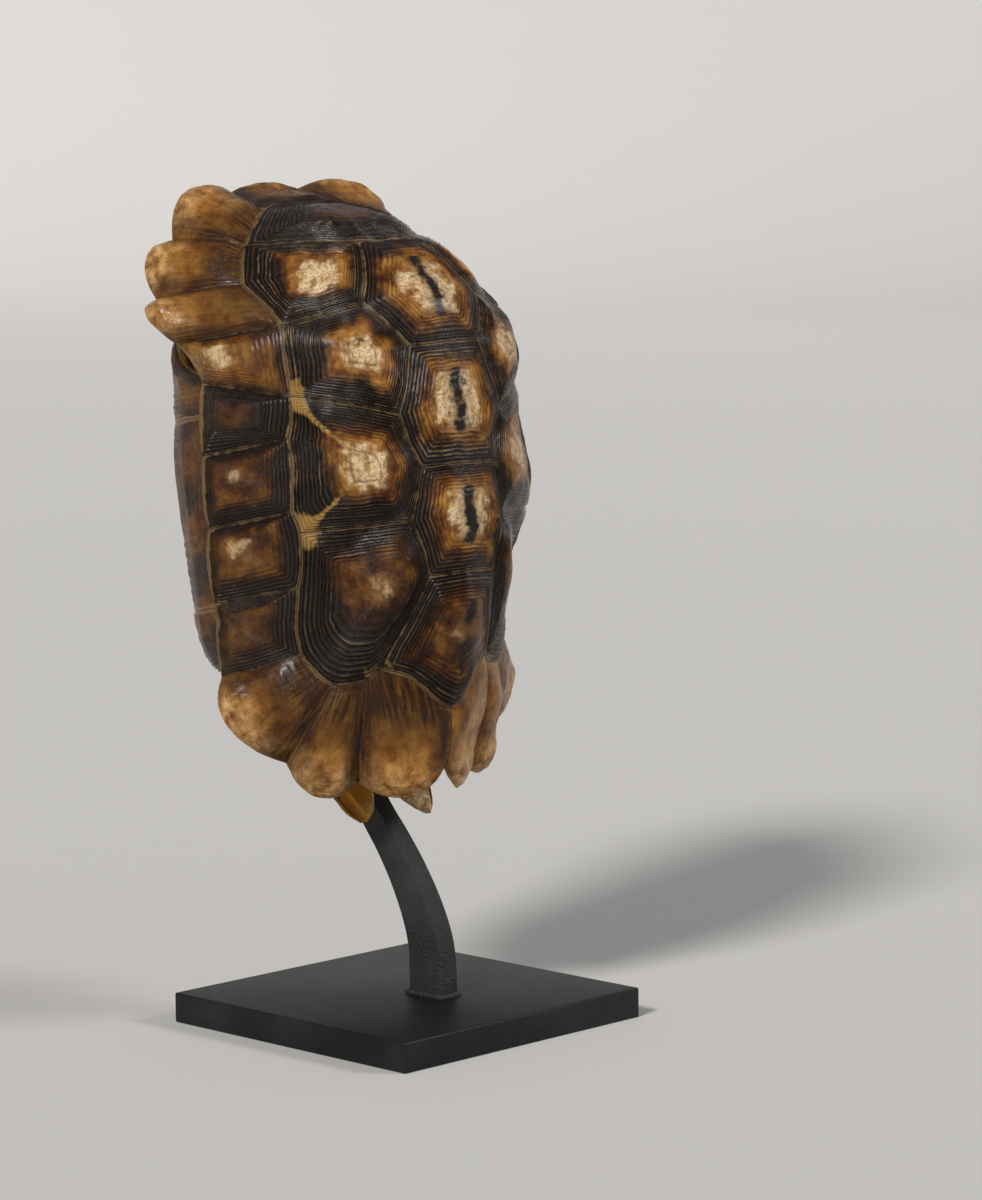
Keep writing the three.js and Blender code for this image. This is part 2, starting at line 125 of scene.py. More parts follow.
# how far the worn cream patch and the amber field reach from the growth centre, and how much darker the amber
# is
VERTEBRAL_PALE = [0.08, 0.42, 0.45, 0.42, 0.0]
VERTEBRAL_AMBER = [0.72, 0.78, 0.74, 0.78, 0.40]
VERTEBRAL_DEEP = [0.7, 0.12, 0.1, 0.1, 0.9]
COSTAL_PALE = [0.09, 0.31, 0.29, 0.32]
COSTAL_AMBER = [0.60, 0.62, 0.62, 0.62]
COSTAL_DEEP = [0.75, 0.2, 0.15, 0.2]
RIM_PALE = [0.0, 0.0, 0.0, 0.0, 0.20, 0.08, 0.0, 0.30, 0.0, 0.0, 0.0, 0.0]
RIM_AMBER = [1.25, 1.25, 1.2, 0.62, 0.72, 0.70, 0.42, 0.88, 1.05, 1.2, 1.25, 0.7]
RIM_DEEP = [0.15, 0.2, 0.25, 0.95, 0.75, 0.8, 1.0, 0.4, 0.3, 0.15, 0.05, 0.85]
# 1 where the free edge flares into a worn tan lip
RIM_TIP = [1, 1, 1, 0.25, 0.1, 0.1, 0.1, 0.3, 0.85, 1, 1, 0.8]


def put_in(name, data):
    """A new object of this name in the scene, made of a mesh, a lens or a light."""
    obj = bpy.data.objects.new(name, data)
    bpy.context.collection.objects.link(obj)
    return obj


# ---------------------------------------------------------------- dome
def dome_edge(angle):
    """Reach and height of the dome's edge, on a smooth closed curve through its stations."""
    deg = np.degrees(np.abs(angle))
    t = np.concatenate([[-DOME_EDGE[1, 0]], DOME_EDGE[:, 0], [360 - DOME_EDGE[-2, 0]]])
    v = np.vstack([DOME_EDGE[1, 1:], DOME_EDGE[:, 1:], DOME_EDGE[-2, 1:]])
    k = np.clip(np.searchsorted(t, deg, side="right") - 1, 1, len(t) - 3)
    h = t[k + 1] - t[k]
    f = ((deg - t[k]) / h)[..., None]
    h = h[..., None]
    lead_in = (v[k + 1] - v[k - 1]) / (t[k + 1] - t[k - 1])[..., None] * h
    lead_out = (v[k + 2] - v[k]) / (t[k + 2] - t[k])[..., None] * h
    g = f * f * (3 - 2 * f)
    out = v[k] * (1 - g) + v[k + 1] * g + lead_in * f * (1 - f) ** 2 - lead_out * f * f * (1 - f)
    return out[..., 0], out[..., 1]


def dome(u, v):
    """Point of the dome over the flat map: unit disc, u to the tail, v to the right flank."""
    rho, angle = np.hypot(u, v), np.arctan2(v, u)
    f = np.sin(ARC * rho) / math.sin(ARC)
    reach, low = dome_edge(angle)
    front = np.maximum(-np.cos(angle), 0) ** 2
    rear = np.maximum(np.cos(angle), 0) ** 2
    fall = FALL_SIDE + (FALL_FRONT - FALL_SIDE) * front + (FALL_REAR - FALL_SIDE) * rear
    dip = np.exp(-((np.degrees(np.abs(angle)) - 149) / 15) ** 2 - ((f - 0.8) / 0.17) ** 2)
    z = DOME_TOP - (DOME_TOP - low) * f ** fall - SHOULDER_DIP * dip
    return np.stack([DOME_X + reach * f * np.cos(angle), reach * f * np.sin(angle), z], -1)


def unit(v):
    """The same way, one long."""
    return v / np.maximum(np.linalg.norm(v, axis=-1, keepdims=True), NEAR)


def dome_normal(u, v, h=0.01):
    """Which way the dome faces, found from its points a small step h to either side."""
    return unit(np.cross(dome(u + h, v) - dome(u - h, v), dome(u, v + h) - dome(u, v - h)))


def crossing(name):
    """Flat map place of a seam crossing; a leading minus is the same one on the left flank."""
    rho, deg = CROSSINGS[name.lstrip("-")]
    side = -1 if name.startswith("-") else 1
    return np.array([rho * math.cos(math.radians(deg)), side * rho * math.sin(math.radians(deg))])


def mirrored(name):
    """The same seam crossing on the other flank."""
    return name[1:] if name.startswith("-") else "-" + name


def plan(at):
    """Where a flat map place of the dome lies seen from above, in millimetres."""
    return dome(at[..., 0], at[..., 1])[..., :2]


def on_map(x, y):
    """The flat map place above a place seen from above: the way back from plan."""
    x = x - DOME_X
    angle = np.arctan2(y, x)
    f = np.hypot(x, y) / dome_edge(angle)[0]
    rho = np.arcsin(np.clip(f * math.sin(ARC), -1, 1)) / ARC
    return rho * np.cos(angle), rho * np.sin(angle)


def seam_steps(a, b, pitch=2.2):
    """How many mesh edges the seam between two crossings gets, the same from either side."""
    t = np.linspace(0, 1, 9)[:, None]
    line = crossing(a) * (1 - t) + crossing(b) * t
    p = dome(line[:, 0], line[:, 1])
    return max(3, round(float(np.linalg.norm(np.diff(p, axis=0), axis=1).sum()) / pitch))


# ---------------------------------------------------------------- marginal scutes
def seam_place(k, s):
    """Flat map place along the seam side of marginal scute k."""
    names = RIM_SEAMS[k]
    m = len(names) - 1
    corners = np.array([crossing(n) for n in names])
    i = np.minimum(np.floor(s * m + NEAR).astype(int), m - 1)
    f = (s * m - i)[..., None]
    return corners[i] * (1 - f) + corners[i + 1] * f


def rim_control(k):
    """Middle control point of the band's cross-section at notch k."""
    u, v = crossing(RIM_SEAMS[k][0] if k < RIM_KINDS else "-m11")
    seam = dome(np.array(u), np.array(v))
    flip = np.array([1, -1, 1])
    before = NOTCH[1] * flip if k == 0 else NOTCH[k - 1]
    after = NOTCH[10] * flip if k == RIM_KINDS else NOTCH[k + 1]
    out = -unit(np.cross(after - before, NOTCH[k] - seam))
    return (seam + NOTCH[k]) / 2 + out * BOW[k]


RIM_CONTROLS = [rim_control(k) for k in range(RIM_KINDS + 1)]


def rim_patch(k, s, t):
    """Marginal scute k of the right flank: s from its neck side to its tail side, t to the rim."""
    place = seam_place(k, s)
    seam = dome(place[..., 0], place[..., 1])
    lobe = (1 - np.abs(2 * s - 1) ** 2.2)[..., None]
    s, t = s[..., None], t[..., None]
    push = TIP[k] - (NOTCH[k] + NOTCH[k + 1]) / 2
    rim = NOTCH[k] * (1 - s) + NOTCH[k + 1] * s + push * lobe
    middle = RIM_CONTROLS[k] * (1 - s) + RIM_CONTROLS[k + 1] * s + 0.35 * push * lobe
    return seam * (1 - t) ** 2 + middle * 2 * t * (1 - t) + rim * t * t


def all_round(g, width, patch):
    """Puts together what patch gives for each marginal scute, the left flank mirroring the right."""
    left = g > RIM_KINDS - NEAR
    w = np.where(left, RIM_SCUTES - g, g)
    k = np.minimum(np.floor(w + NEAR).astype(int), RIM_KINDS - 1)
    out = np.empty(g.shape + (width,))
    for i in range(RIM_KINDS):
        here = k == i
        if here.any():
            out[here] = patch(i, w[here] - i, here)
    out[..., 1] *= np.where(left, -1, 1)
    return out


def band(g, t):
    """Whole band: g from 0 at the neck notch over the right flank and the tail to 23."""
    g, t = np.broadcast_arrays(np.asarray(g, float) % RIM_SCUTES, np.asarray(t, float))
    return all_round(g, 3, lambda i, s, here: rim_patch(i, s, t[here]))


def band_normal(g, t):
    """Which way the band of marginal scutes faces."""
    across = band(g + 0.3, t) - band(g - 0.3, t)
    down = band(g, np.minimum(t + 0.05, 1)) - band(g, np.maximum(t - 0.05, 0))
    return -unit(np.cross(down, across))


def seam_on_map(g):
    """Flat map place of the seam between dome and band, all the way round."""
    return all_round(g, 2, lambda i, s, here: seam_place(i, s))


# ---------------------------------------------------------------- growth rings
# points that round to the same place, at so many steps to the millimetre, are one
MERGE = 2000


class Horn:
    """Points, faces and what each point tells the material, gathered scute by scute."""

    FACTS = ("growth", "ridge", "tone", "pale", "amber", "bone", "along", "edge", "light_seam",
             "stain", "yellow", "tip", "deep", "flare", "natal", "cross")

    def __init__(self):
        self.points, self.facts, self.faces = [], [], []
        self.count = 0

    def add(self, points, facts, *faces):
        """Takes points, their facts by name, and one or more tables of faces over these points."""
        self.points.append(points)
        table = np.zeros((len(points), len(self.FACTS)))
        for name, value in facts.items():
            table[:, self.FACTS.index(name)] = value
        self.facts.append(table)
        for several in faces:
            self.faces += (several + self.count).tolist()
        self.count += len(points)

    def piece(self, name):
        """One closed mesh, hung in place, its doubles merged, with the facts at the corners of its faces."""
        points = np.concatenate(self.points)
        facts = np.concatenate(self.facts)
        key = np.round(points * MERGE).astype(np.int64)
        _, first, same = np.unique(key, axis=0, return_index=True, return_inverse=True)
        same = same.reshape(-1).tolist()
        faces, corners = [], []
        for face in self.faces:
            merged = [same[c] for c in face]
            keep = [j for j, point in enumerate(merged) if point not in merged[:j]]
            if len(keep) > 2:
                faces.append([merged[j] for j in keep])
                corners += [face[j] for j in keep]
        mesh = bpy.data.meshes.new(name)
        mesh.from_pydata(hang(wander(points[first])).tolist(), [], faces)
        for i, fact in enumerate(self.FACTS):
            layer = mesh.attributes.new(fact, "FLOAT", "CORNER")
            layer.data.foreach_set("value", facts[corners, i].astype(np.float32))
        uv = mesh.uv_layers.new(name="UVMap")
        flat = np.stack([facts[corners, self.FACTS.index(n)] for n in ("along", "cross")], -1) * 0.01
        uv.data.foreach_set("uv", flat.astype(np.float32).reshape(-1))
        mesh.update()
        return put_in(name, mesh)


def growth_rows(early, late, core, seed):
    """Rows from the growth centre to the seam: place, ridge, depth of relief, tone of the ring.
    The early rings are worn nearly flat, the late ones stand in sharp ridges."""
    rng = np.random.default_rng(seed)
    middle = core + (1 - core) * 0.40
    width = 0.75 + 0.6 * rng.random(late)
    width[-2:] *= 0.75
    ends = np.concatenate([np.linspace(core, middle, early + 1)[:-1],
                           middle + (1 - middle) * np.concatenate([[0], np.cumsum(width) / width.sum()])])
    tone = rng.random(early + late)
    depth = 0.7 + 0.6 * rng.random(early + late)
    depth[:early] *= np.linspace(0.15, 0.4, early)
    rows = [(0.4 * core, 0.9, 0.0, 0.5), (0.75 * core, 0.9, 0.0, 0.5)]
    for k in range(early + late):
        for p, rise in ((0, 0), (0.3, 0.62), (0.56, 1), (0.8, 0.6)):
            line = -1.0 if k == 0 and p == 0 else 0.0
            rows.append((ends[k] + p * (ends[k + 1] - ends[k]), rise + line, depth[k] * rise, tone[k]))
    rows.append((1.0, 0.0, 0.0, 0.0))
    return np.array(rows)


def wave(p, seed, scale):
    """Smooth wandering value between about -1 and 1 at points of any dimension."""
    rng = np.random.default_rng(seed)
    p = np.atleast_2d(p)
    total = np.zeros(len(p))
    for octave in (1.0, 1.9, 3.7):
        for _ in range(3):
            way = rng.normal(size=p.shape[1])
            way /= np.linalg.norm(way)
            total += np.sin(p @ way * TAU * octave / scale + rng.random() * TAU) / octave
    return total / 3.2


def soften(loop, reach):
    """A closed loop with its corners rounded, over so many neighbours on either side."""
    k = np.arange(-reach, reach + 1)
    weight = np.exp(-(k / (0.5 * reach)) ** 2)
    weight /= weight.sum()
    return sum(w * np.roll(loop, -int(j), axis=0) for w, j in zip(weight, k))


def ring_wander(rows, n, seed):
    """Unevenness of the rings: a slow value round the scute, and two quick ones at every point."""
    turn = np.arange(n) / n * TAU
    slow = wave(np.stack([np.cos(turn), np.sin(turn)], -1), seed + 5, 1.3)
    reach = n * 1.9 / TAU
    spot = np.stack(np.broadcast_arrays(np.cos(turn)[None] * reach, np.sin(turn)[None] * reach,
                                        rows[:, :1] * 14), -1).reshape(-1, 3)
    quick = wave(spot, seed + 6, 9.0).reshape(len(rows), n)
    uneven = wave(spot, seed + 7, 15.0).reshape(len(rows), n)
    return slow, quick, uneven


def ring_places(outline, centre, rows, slow, quick):
    """Flat places of all rings: rounded near the growth centre, with the shape of the seams at the edge."""
    out = rows[:, 0][:, None, None]
    soft = soften(outline, max(2, len(outline) // 14))
    shape = outline * out ** 0.7 + soft * (1 - out ** 0.7)
    flat = centre + (shape - centre) * out
    hold = np.clip(rows[:, 0] * (1 - rows[:, 0]) * 4, 0, 1) * np.clip((1 - rows[:, 0]) * 14, 0, 1)
    loose = hold[:, None] * (0.014 * slow[None] + 0.011 * quick)
    return flat + (outline - centre)[None] * loose[..., None]


def ring_facts(solid, rows, n, slow, seed, pale, amber, seam, lean):
    """What each point of a scute tells the finish; lean is how much further the amber goes each way."""
    rim = solid[-1 - n:-1]
    core = solid[-1]
    step = np.linalg.norm(np.diff(np.vstack([rim, rim[:1]]), axis=0), axis=1)
    along = np.concatenate([[0], np.cumsum(step)])[:n] + (seed % 17) * 37
    growth = np.append(np.repeat(rows[:, 0], n), 0)
    ragged = 1 + 0.10 * np.append(np.tile(slow, len(rows)), 0)
    span = np.linalg.norm(rim - core, axis=1)
    edge = np.append(((1 - rows[:, 0])[:, None] * span[None]).reshape(-1), span.mean())
    near = np.sqrt(growth * np.linalg.norm(solid - core, axis=1) / span.mean())
    reach = amber * (ragged + np.append(np.tile(lean, len(rows)), 0))
    palest = 0 if pale == 0 else 0.5 if pale <= 0.2 else 1
    return {
        "growth": growth,
        "ridge": np.append(np.repeat(rows[:, 1], n), 0.9),
        "tone": np.append(np.repeat(rows[:, 3], n), 0.5),
        "pale": np.clip((pale * ragged - near) / 0.26 + 0.5, 0, palest),
        "amber": np.clip((reach - growth) / 0.30 + 0.5, 0, 1),
        "along": np.append(np.tile(along, len(rows)), 0),
        "edge": edge,
        "cross": edge,
        "light_seam": np.append(np.tile(np.broadcast_to(seam, n), len(rows)), 0)}


# the same four corners the other way round, for a face that looks the other way
TURNED = [0, 3, 2, 1]


def grid_faces(rows, columns, closed):
    """Four-cornered faces between rows of points, each row open or closed to a ring."""
    i, j = np.meshgrid(np.arange(rows - 1), np.arange(columns if closed else columns - 1), indexing="ij")
    here, below = i * columns, (i + 1) * columns
    beside = (j + 1) % columns
    return np.stack([here + j, below + j, below + beside, here + beside], -1).reshape(-1, 4)


def scute(horn, outline, centre, rings, core, place, mound, relief, seed, pale, amber, seam=0.7,
          toward=(0, 0), marks=None):
    """Grows one scute: rows of points from its growth centre out to its seams.
    toward is the way on the flat map in which the amber field reaches furthest; marks takes the
    points, in millimetres, their growth and their flat map places, and gives further facts."""
    rows = growth_rows(*rings, core, seed)
    n = len(outline)
    slow, quick, uneven = ring_wander(rows, n, seed)
    flat = np.vstack([ring_places(outline, centre, rows, slow, quick).reshape(-1, 2), centre[None]])
    ridges = relief * rows[:, 2:3] * np.minimum(1, 0.45 + rows[:, :1]) * np.clip(1 + 0.55 * uneven, 0.3, 1.6)
    height = mound * (1 - rows[:, :1] ** 2) ** 0.8 + ridges
    solid = place(flat[:, 0], flat[:, 1], np.append(height.reshape(-1), mound))
    solid[-1 - n:-1] = place(outline[:, 0], outline[:, 1], np.zeros(n))
    way = (outline - centre) / np.linalg.norm(outline - centre, axis=1, keepdims=True)
    facts = ring_facts(solid, rows, n, slow, seed, pale, amber, seam, way @ np.array(toward, float))
    if marks is not None:
        facts.update(marks(solid, facts["growth"], flat))
    i = np.arange(n)
    middle = np.stack([np.full(n, len(rows) * n), i, (i + 1) % n], -1)
    horn.add(solid, facts, grid_faces(len(rows), n, closed=True), middle)


# corners where a yellow spoke starts, corners where yellow horn shows, with how strong it is there, and
# the seams that lie along the band of marginal scutes
SPOKE_CORNERS = ("c12", "c23")
YELLOW_CORNERS = {"c12": 1.4, "c23": 1.3, "c34": 0.45, "v1": 0.5, "m12": 0.3, "g": 0.3, "f": 0.2}
BAND_EDGES = {frozenset(pair) for names in RIM_SEAMS for pair in zip(names, names[1:])}


def off_line(points, a, b):
    """How far points lie from the line between a and b, and how far along it they are."""
    t = np.clip((points - a) @ (b - a) / ((b - a) @ (b - a)), 0, 1)
    return np.linalg.norm(points - a - t[:, None] * (b - a), axis=1), t


def dome_outline(ends):
    """Seams round a scute of the dome, as flat places, with the width of the light line along them."""
    loop, light = [], []
    for a, b in zip(ends, ends[1:] + ends[:1]):
        steps = seam_steps(*sorted((a, b)))
        t = np.arange(steps)[:, None] / steps
        if frozenset((a.lstrip("-"), b.lstrip("-"))) in BAND_EDGES:
            loop.append(plan(crossing(a) * (1 - t) + crossing(b) * t))
            light += [1.05] * steps
        else:
            loop.append(plan(crossing(a)) * (1 - t) + plan(crossing(b)) * t)
            light += [0.6] * steps
    return np.concatenate(loop), np.array(light)


def yellow_horn(points, flat, centre, ends, spokes):
    """How yellow each point is: at the corners, and along the spokes from the band to the growth centre."""
    yellow = np.zeros(len(points))
    for name in ends:
        strength = YELLOW_CORNERS.get(name.lstrip("-"), 0)
        if not strength:
            continue
        corner = dome(*crossing(name)[:, None])[0]
        yellow += strength * np.exp(-(np.linalg.norm(points - corner, axis=1) / 6.2) ** 2)
        if spokes and name.lstrip("-") in SPOKE_CORNERS:
            off, t = off_line(flat, plan(crossing(name)), centre)
            yellow += spokes * np.exp(-(off / (1.3 - 0.6 * t)) ** 2) * (1 - 0.5 * t)
    return np.clip(yellow, 0, 1)


def back_stripe(points, growth):
    """The dark line down the middle of the back: a black middle in a wider stain, gone at the seams."""
    off = points[:, 1] - 0.7 * np.sin(points[:, 0] * 0.45)
    middle = np.maximum(np.exp(-(off / 3.5) ** 2), 0.48 * np.exp(-(off / 7.0) ** 4))
    return middle * np.clip((0.62 - growth) / 0.12, 0, 1)


def dome_scute(horn, names, flip, core_at, rings, seed, pale, amber, deep, stripe=0.0, spokes=0.0, lean=None):
    """A vertebral or costal scute, between the named seam crossings of one flank or their mirror images."""
    ends = [mirrored(n) for n in names][::-1] if flip else names
    side = -1 if flip else 1
    loop, light = dome_outline(ends)
    angle = math.radians(core_at[1])
    centre = plan(np.array([core_at[0] * math.cos(angle), core_at[0] * math.sin(angle) * side]))

    def place(x, y, h):
        u, v = on_map(x, y)
        return dome(u, v) + dome_normal(u, v) * h[:, None]

    def marks(points, growth, flat):
        return {"yellow": yellow_horn(points, flat, centre, ends, spokes),
                "stain": stripe * back_stripe(points, growth), "deep": deep, "natal": 1 if spokes else 0}

    core = 0.24 if lean else 0.16
    toward = (lean[0], side * lean[1]) if lean else (0, 0)
    scute(horn, loop, centre, rings, core, place, MOUND, 0.55, seed, pale, amber, light, toward, marks)


# mesh edges along the rim of a marginal scute and down its sides
RIM_ALONG = 16
RIM_DOWN = 12
# the marginals left of the neck, from this one on, are rubbed almost free of stain
RUBBED_FROM = 20


def rim_kind(g):
    """Which entry of the marginal tables scute g goes by: the left flank mirrors the right."""
    return g if g < RIM_KINDS else RIM_SCUTES - 1 - g


def rim_outline(g):
    """Edges of a marginal scute on its own flat map, with the width of the light line along them."""
    k = rim_kind(g)
    names = RIM_SEAMS[k]
    m = len(names) - 1
    spans = range(m) if g < RIM_KINDS else reversed(range(m))
    side = []
    for order, i in enumerate(spans):
        steps = seam_steps(*sorted((names[i], names[i + 1])))
        side.append((order + np.arange(steps) / steps) / m)
    side = np.concatenate(side)
    down = np.arange(RIM_DOWN) / RIM_DOWN
    along = np.arange(RIM_ALONG) / RIM_ALONG
    loop = np.concatenate([
        np.stack([side, 0 * side], -1), np.stack([0 * down + 1, down], -1),
        np.stack([1 - along, 0 * along + 1], -1), np.stack([0 * down, 1 - down], -1)])
    between = 0.6 - 0.4 * RIM_TIP[k]
    bridge = 0.0 if RIM_TIP[k] > 0.5 else 2.0
    light = np.concatenate([0 * side + 0.85, 0 * down + between, 0 * along + bridge, 0 * down + between])
    return loop, light


def lip_swell(s, t, seed):
    """How a flared marginal scute swells out: a roll at its root, one at its lip, and lumps."""
    across = (1 - np.abs(2 * s - 1) ** 2.2) * np.clip(t / 0.12, 0, 1) * np.clip((1 - t) / 0.04, 0, 1)
    root = 0.9 * np.exp(-((t - 0.28) / 0.2) ** 2)
    waist = 0.6 * np.exp(-((t - 0.6) / 0.13) ** 2)
    lip = 1.3 * np.exp(-((t - 0.86) / 0.1) ** 2)
    lumps = 0.5 * wave(np.stack([s * 20, t * 30], -1), seed + 31, 9.0) * (0.4 + t)
    return across * (root + lip - waist + lumps)


def lip_facts(g, flat, seed):
    """What the points of a marginal scute tell the finish, over its own flat map."""
    k = rim_kind(g)
    t = flat[:, 1]
    side = np.abs(2 * flat[:, 0] - 1)
    tip = np.clip((t - 0.55) / 0.35, 0, 1) * np.clip((1.1 - side) / 0.5, 0, 1) * RIM_TIP[k]
    gutter = np.clip((side - 0.36) / 0.46, 0, 1) * np.clip(1.45 - t, 0, 1)
    root = np.clip((0.70 - t) / 0.5, 0, 1) * (1.0 if k < 3 else 0.8)
    rubbed = 0.35 if g >= RUBBED_FROM else 1
    stain = np.clip(np.maximum(gutter, root), 0, 0.92) * RIM_TIP[k] * rubbed
    facts = {"tip": tip, "stain": stain, "deep": RIM_DEEP[k], "flare": RIM_TIP[k]}
    if RIM_TIP[k] > 0.5:
        facts.update({"along": t * 9 + 7 * seed, "cross": flat[:, 0] * 7})
    return facts


def rim_scute(horn, g, seed):
    """A marginal scute; g counts from the neck over the right flank and the tail, back to the neck."""
    k = rim_kind(g)
    loop, light = rim_outline(g)
    rear = 0.66 if 2 <= k <= 10 else 0.5
    centre = np.array([rear if g < RIM_KINDS else 1 - rear, 0.66])

    def place(s, t, h):
        s, t = np.clip(s, 0, 1), np.clip(t, 0, 1)
        h = h + RIM_TIP[k] * lip_swell(s, t, seed)
        return band(g + s, t) + band_normal(g + s, t) * h[:, None]

    def marks(points, growth, flat):
        return lip_facts(g, flat, seed)

    rings = (3, 5) if RIM_TIP[k] > 0.5 else (2, 7)
    mound = RIM_MOUND * (1 - 0.45 * RIM_TIP[k])
    relief = 0.42 - 0.30 * RIM_TIP[k]
    scute(horn, loop, centre, rings, 0.2, place, mound, relief, seed, RIM_PALE[k], RIM_AMBER[k], light,
          marks=marks)


def hollow(horn):
    """Bone side of the carapace: under the lip, up the wall and over to the crown."""
    n = RIM_SCUTES * RIM_ALONG
    g = np.arange(n) / RIM_ALONG
    rows = []
    for t in (1, 0.97, 0.93, 0.82, 0.7, 0.52, 0.35, 0.18, 0):
        p = band(g, np.full(n, float(t)))
        depth = np.interp(t, LIP[:, 0], LIP[:, 1])
        if t > 0:
            out = band_normal(g, np.full(n, float(t)))
        else:
            out = unit(p - np.stack([DOME_X * 0.55 + p[:, 0] * 0.45, 0 * g, 0 * g], -1))
        rows.append(p - out * depth)
    seam = seam_on_map(g)
    for f in (0.91, 0.82, 0.71, 0.6, 0.45, 0.3, 0.15):
        u, v = seam[:, 0] * f, seam[:, 1] * f
        rows.append(dome(u, v) - dome_normal(u, v) * DOME_WALL)
    zero = np.zeros(1)
    crown = dome(zero, zero) - dome_normal(zero, zero) * DOME_WALL
    i = np.arange(n)
    last = (len(rows) - 1) * n
    middle = np.stack([last + i, last + (i + 1) % n, np.full(n, len(rows) * n)], -1)
    facts = {"bone": np.append(np.repeat(np.clip(np.arange(len(rows)) / 4.0, 0, 1), n), 1.0),
             "ridge": 0.8, "tone": 0.5, "growth": 0.6, "amber": 1.2, "tip": 0.6, "edge": 9}
    horn.add(np.vstack(rows + [crown]), facts, grid_faces(len(rows), n, closed=True)[:, TURNED], middle)


def hang(points):
    """From the animal's own axes, in millimetres, to where the shell hangs, in metres."""
    spin = (Matrix.Rotation(-TURN, 3, "Z") @ Matrix.Rotation(-LEAN_BACK, 3, "X")
            @ Matrix.Rotation(-SIDE_LEAN, 3, "Y") @ Matrix(((0, -1, 0), (0, 0, -1), (1, 0, 0))))
    return (points @ np.array(spin).T + np.array(SHELL_AT)) * MM


def wander(points):
    """Small unevenness of a grown thing, the same on both sides of every seam."""
    slow = np.stack([wave(points, 11 + i, 34.0) for i in range(3)], -1)
    quick = np.stack([wave(points, 17 + i, 7.5) for i in range(3)], -1)
    return points + slow * 0.28 + quick * 0.13


def grow_carapace():
    """The back: vertebral, costal and marginal scutes outside, bone inside."""
    horn = Horn()
    for i, names in enumerate(VERTEBRALS):
        dome_scute(horn, names, False, VERTEBRAL_CORES[i], VERTEBRAL_RINGS[i], 100 + i, VERTEBRAL_PALE[i],
                   VERTEBRAL_AMBER[i], VERTEBRAL_DEEP[i], stripe=VERTEBRAL_STRIPE[i])
    for flip in (False, True):
        for i, names in enumerate(COSTALS):
            dome_scute(horn, names, flip, COSTAL_CORES[i], COSTAL_RINGS[i], 200 + i + 20 * flip,
                       COSTAL_PALE[i], COSTAL_AMBER[i], COSTAL_DEEP[i], spokes=COSTAL_SPOKES[i],
                       lean=COSTAL_LEAN[i])
    for g in range(RIM_SCUTES):
        rim_scute(horn, g, 300 + g)
    hollow(horn)
    return horn.piece("carapace")


def finish_piece(obj, body="root"):
    """Turns every face outwards, shades the whole piece smooth and hangs it on its body."""
    bpy.ops.object.select_all(action="DESELECT")
    obj.select_set(True)
    bpy.context.view_layer.objects.active = obj
    bpy.ops.object.mode_set(mode="EDIT")
    bpy.ops.mesh.select_all(action="SELECT")
    bpy.ops.mesh.normals_make_consistent(inside=False)
    bpy.ops.object.mode_set(mode="OBJECT")
    bpy.ops.object.shade_smooth()
    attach(obj, body)


# ---------------------------------------------------------------- plastron
PLASTRON_Z = -36
PLASTRON_WALL = 4.6
PLASTRON_NECK = -134
PLASTRON_TAIL = 80
PLASTRON = np.array([
    [-134, 16.8, 1.6], [-130, 18.4, 2], [-125, 20, 2], [-119, 22.6, 2.4], [-110, 28, 3], [-100, 35, 4],
    [-89, 41, 5], [-81, 45.5, 7.5], [-76.5, 49.5, 13], [-73, 54, 20], [-70, 57.5, 25], [-66, 59.3, 27.5],
    [-60, 60.3, 29], [-46, 62.2, 34], [-22, 63.3, 39], [4, 63.3, 42], [21, 61.5, 42], [28, 60, 40],
    [32, 57.5, 31], [35.5, 55, 20], [40, 52.5, 11], [46, 50, 7], [56, 45, 5], [66, 38, 4],
    [74, 28, 3.4], [80, 16, 2.6]])
SIDE = np.array([[0, 0], [0.24, 0], [0.48, 0], [0.7, 0.024], [0.855, 0.12], [0.955, 0.3], [0.995, 0.52],
                 [1, 0.79], [0.98, 1]])
FORK = np.array([[-134, 12.63], [-131.5, 10.6], [-127, 6.8], [-122, 3.6], [-118, 0]])
ANAL_NOTCH = np.array([[68, 0], [76, 7], [80, 12.2]])


def plastron_height(x):
    """Height of the plastron's flat outside, which bends up towards the gular prongs."""
    d = np.maximum(-50 - x, 0) / 84
    return PLASTRON_Z + (-3 - PLASTRON_Z) * d ** 1.7


def plastron_point(x, r, lining=0.0):
    """Right half of the plastron: x along the body, r from the midline to the free side."""
    w = np.interp(x, PLASTRON[:, 0], PLASTRON[:, 1])
    up = np.interp(x, PLASTRON[:, 0], PLASTRON[:, 2])
    q = np.arange(len(SIDE)) / (len(SIDE) - 1)
    gap = np.where(x < -118, np.interp(x, FORK[:, 0], FORK[:, 1]),
                   np.where(x > 68, np.interp(x, ANAL_NOTCH[:, 0], ANAL_NOTCH[:, 1]), 0))
    start = np.interp(np.clip(gap / w, 0, 0.995), SIDE[:7, 0], q[:7])
    s = start + (1 - start) * r
    ys, zs = np.interp(s, q, SIDE[:, 0]), np.interp(s, q, SIDE[:, 1])
    inner = np.minimum(5.2, 0.16 * w)
    rise = np.maximum(up - PLASTRON_WALL, 0.3)
    y = (w - inner * lining) * ys
    prong = np.clip((-106 - x) / 9, 0, 1)
    wall = PLASTRON_WALL * (1 - 0.65 * prong)
    pad = 4.6 * prong * np.sqrt(np.clip(1 - (2 * r - 1) ** 2, 0, 1)) * np.sqrt(np.clip((x + 134.6) / 5, 0, 1))
    z = plastron_height(x) + up * zs * (1 - lining) + (wall + rise * zs + pad) * lining
    tip = np.sqrt(np.clip(1 - (np.maximum(-129 - x, 0) / 5.3) ** 2, 0.02, 1))
    middle = (gap + w) / 2
    y = np.where(x < -129, middle + (y - middle) * tip, y)
    return np.stack([x, y, z], -1)


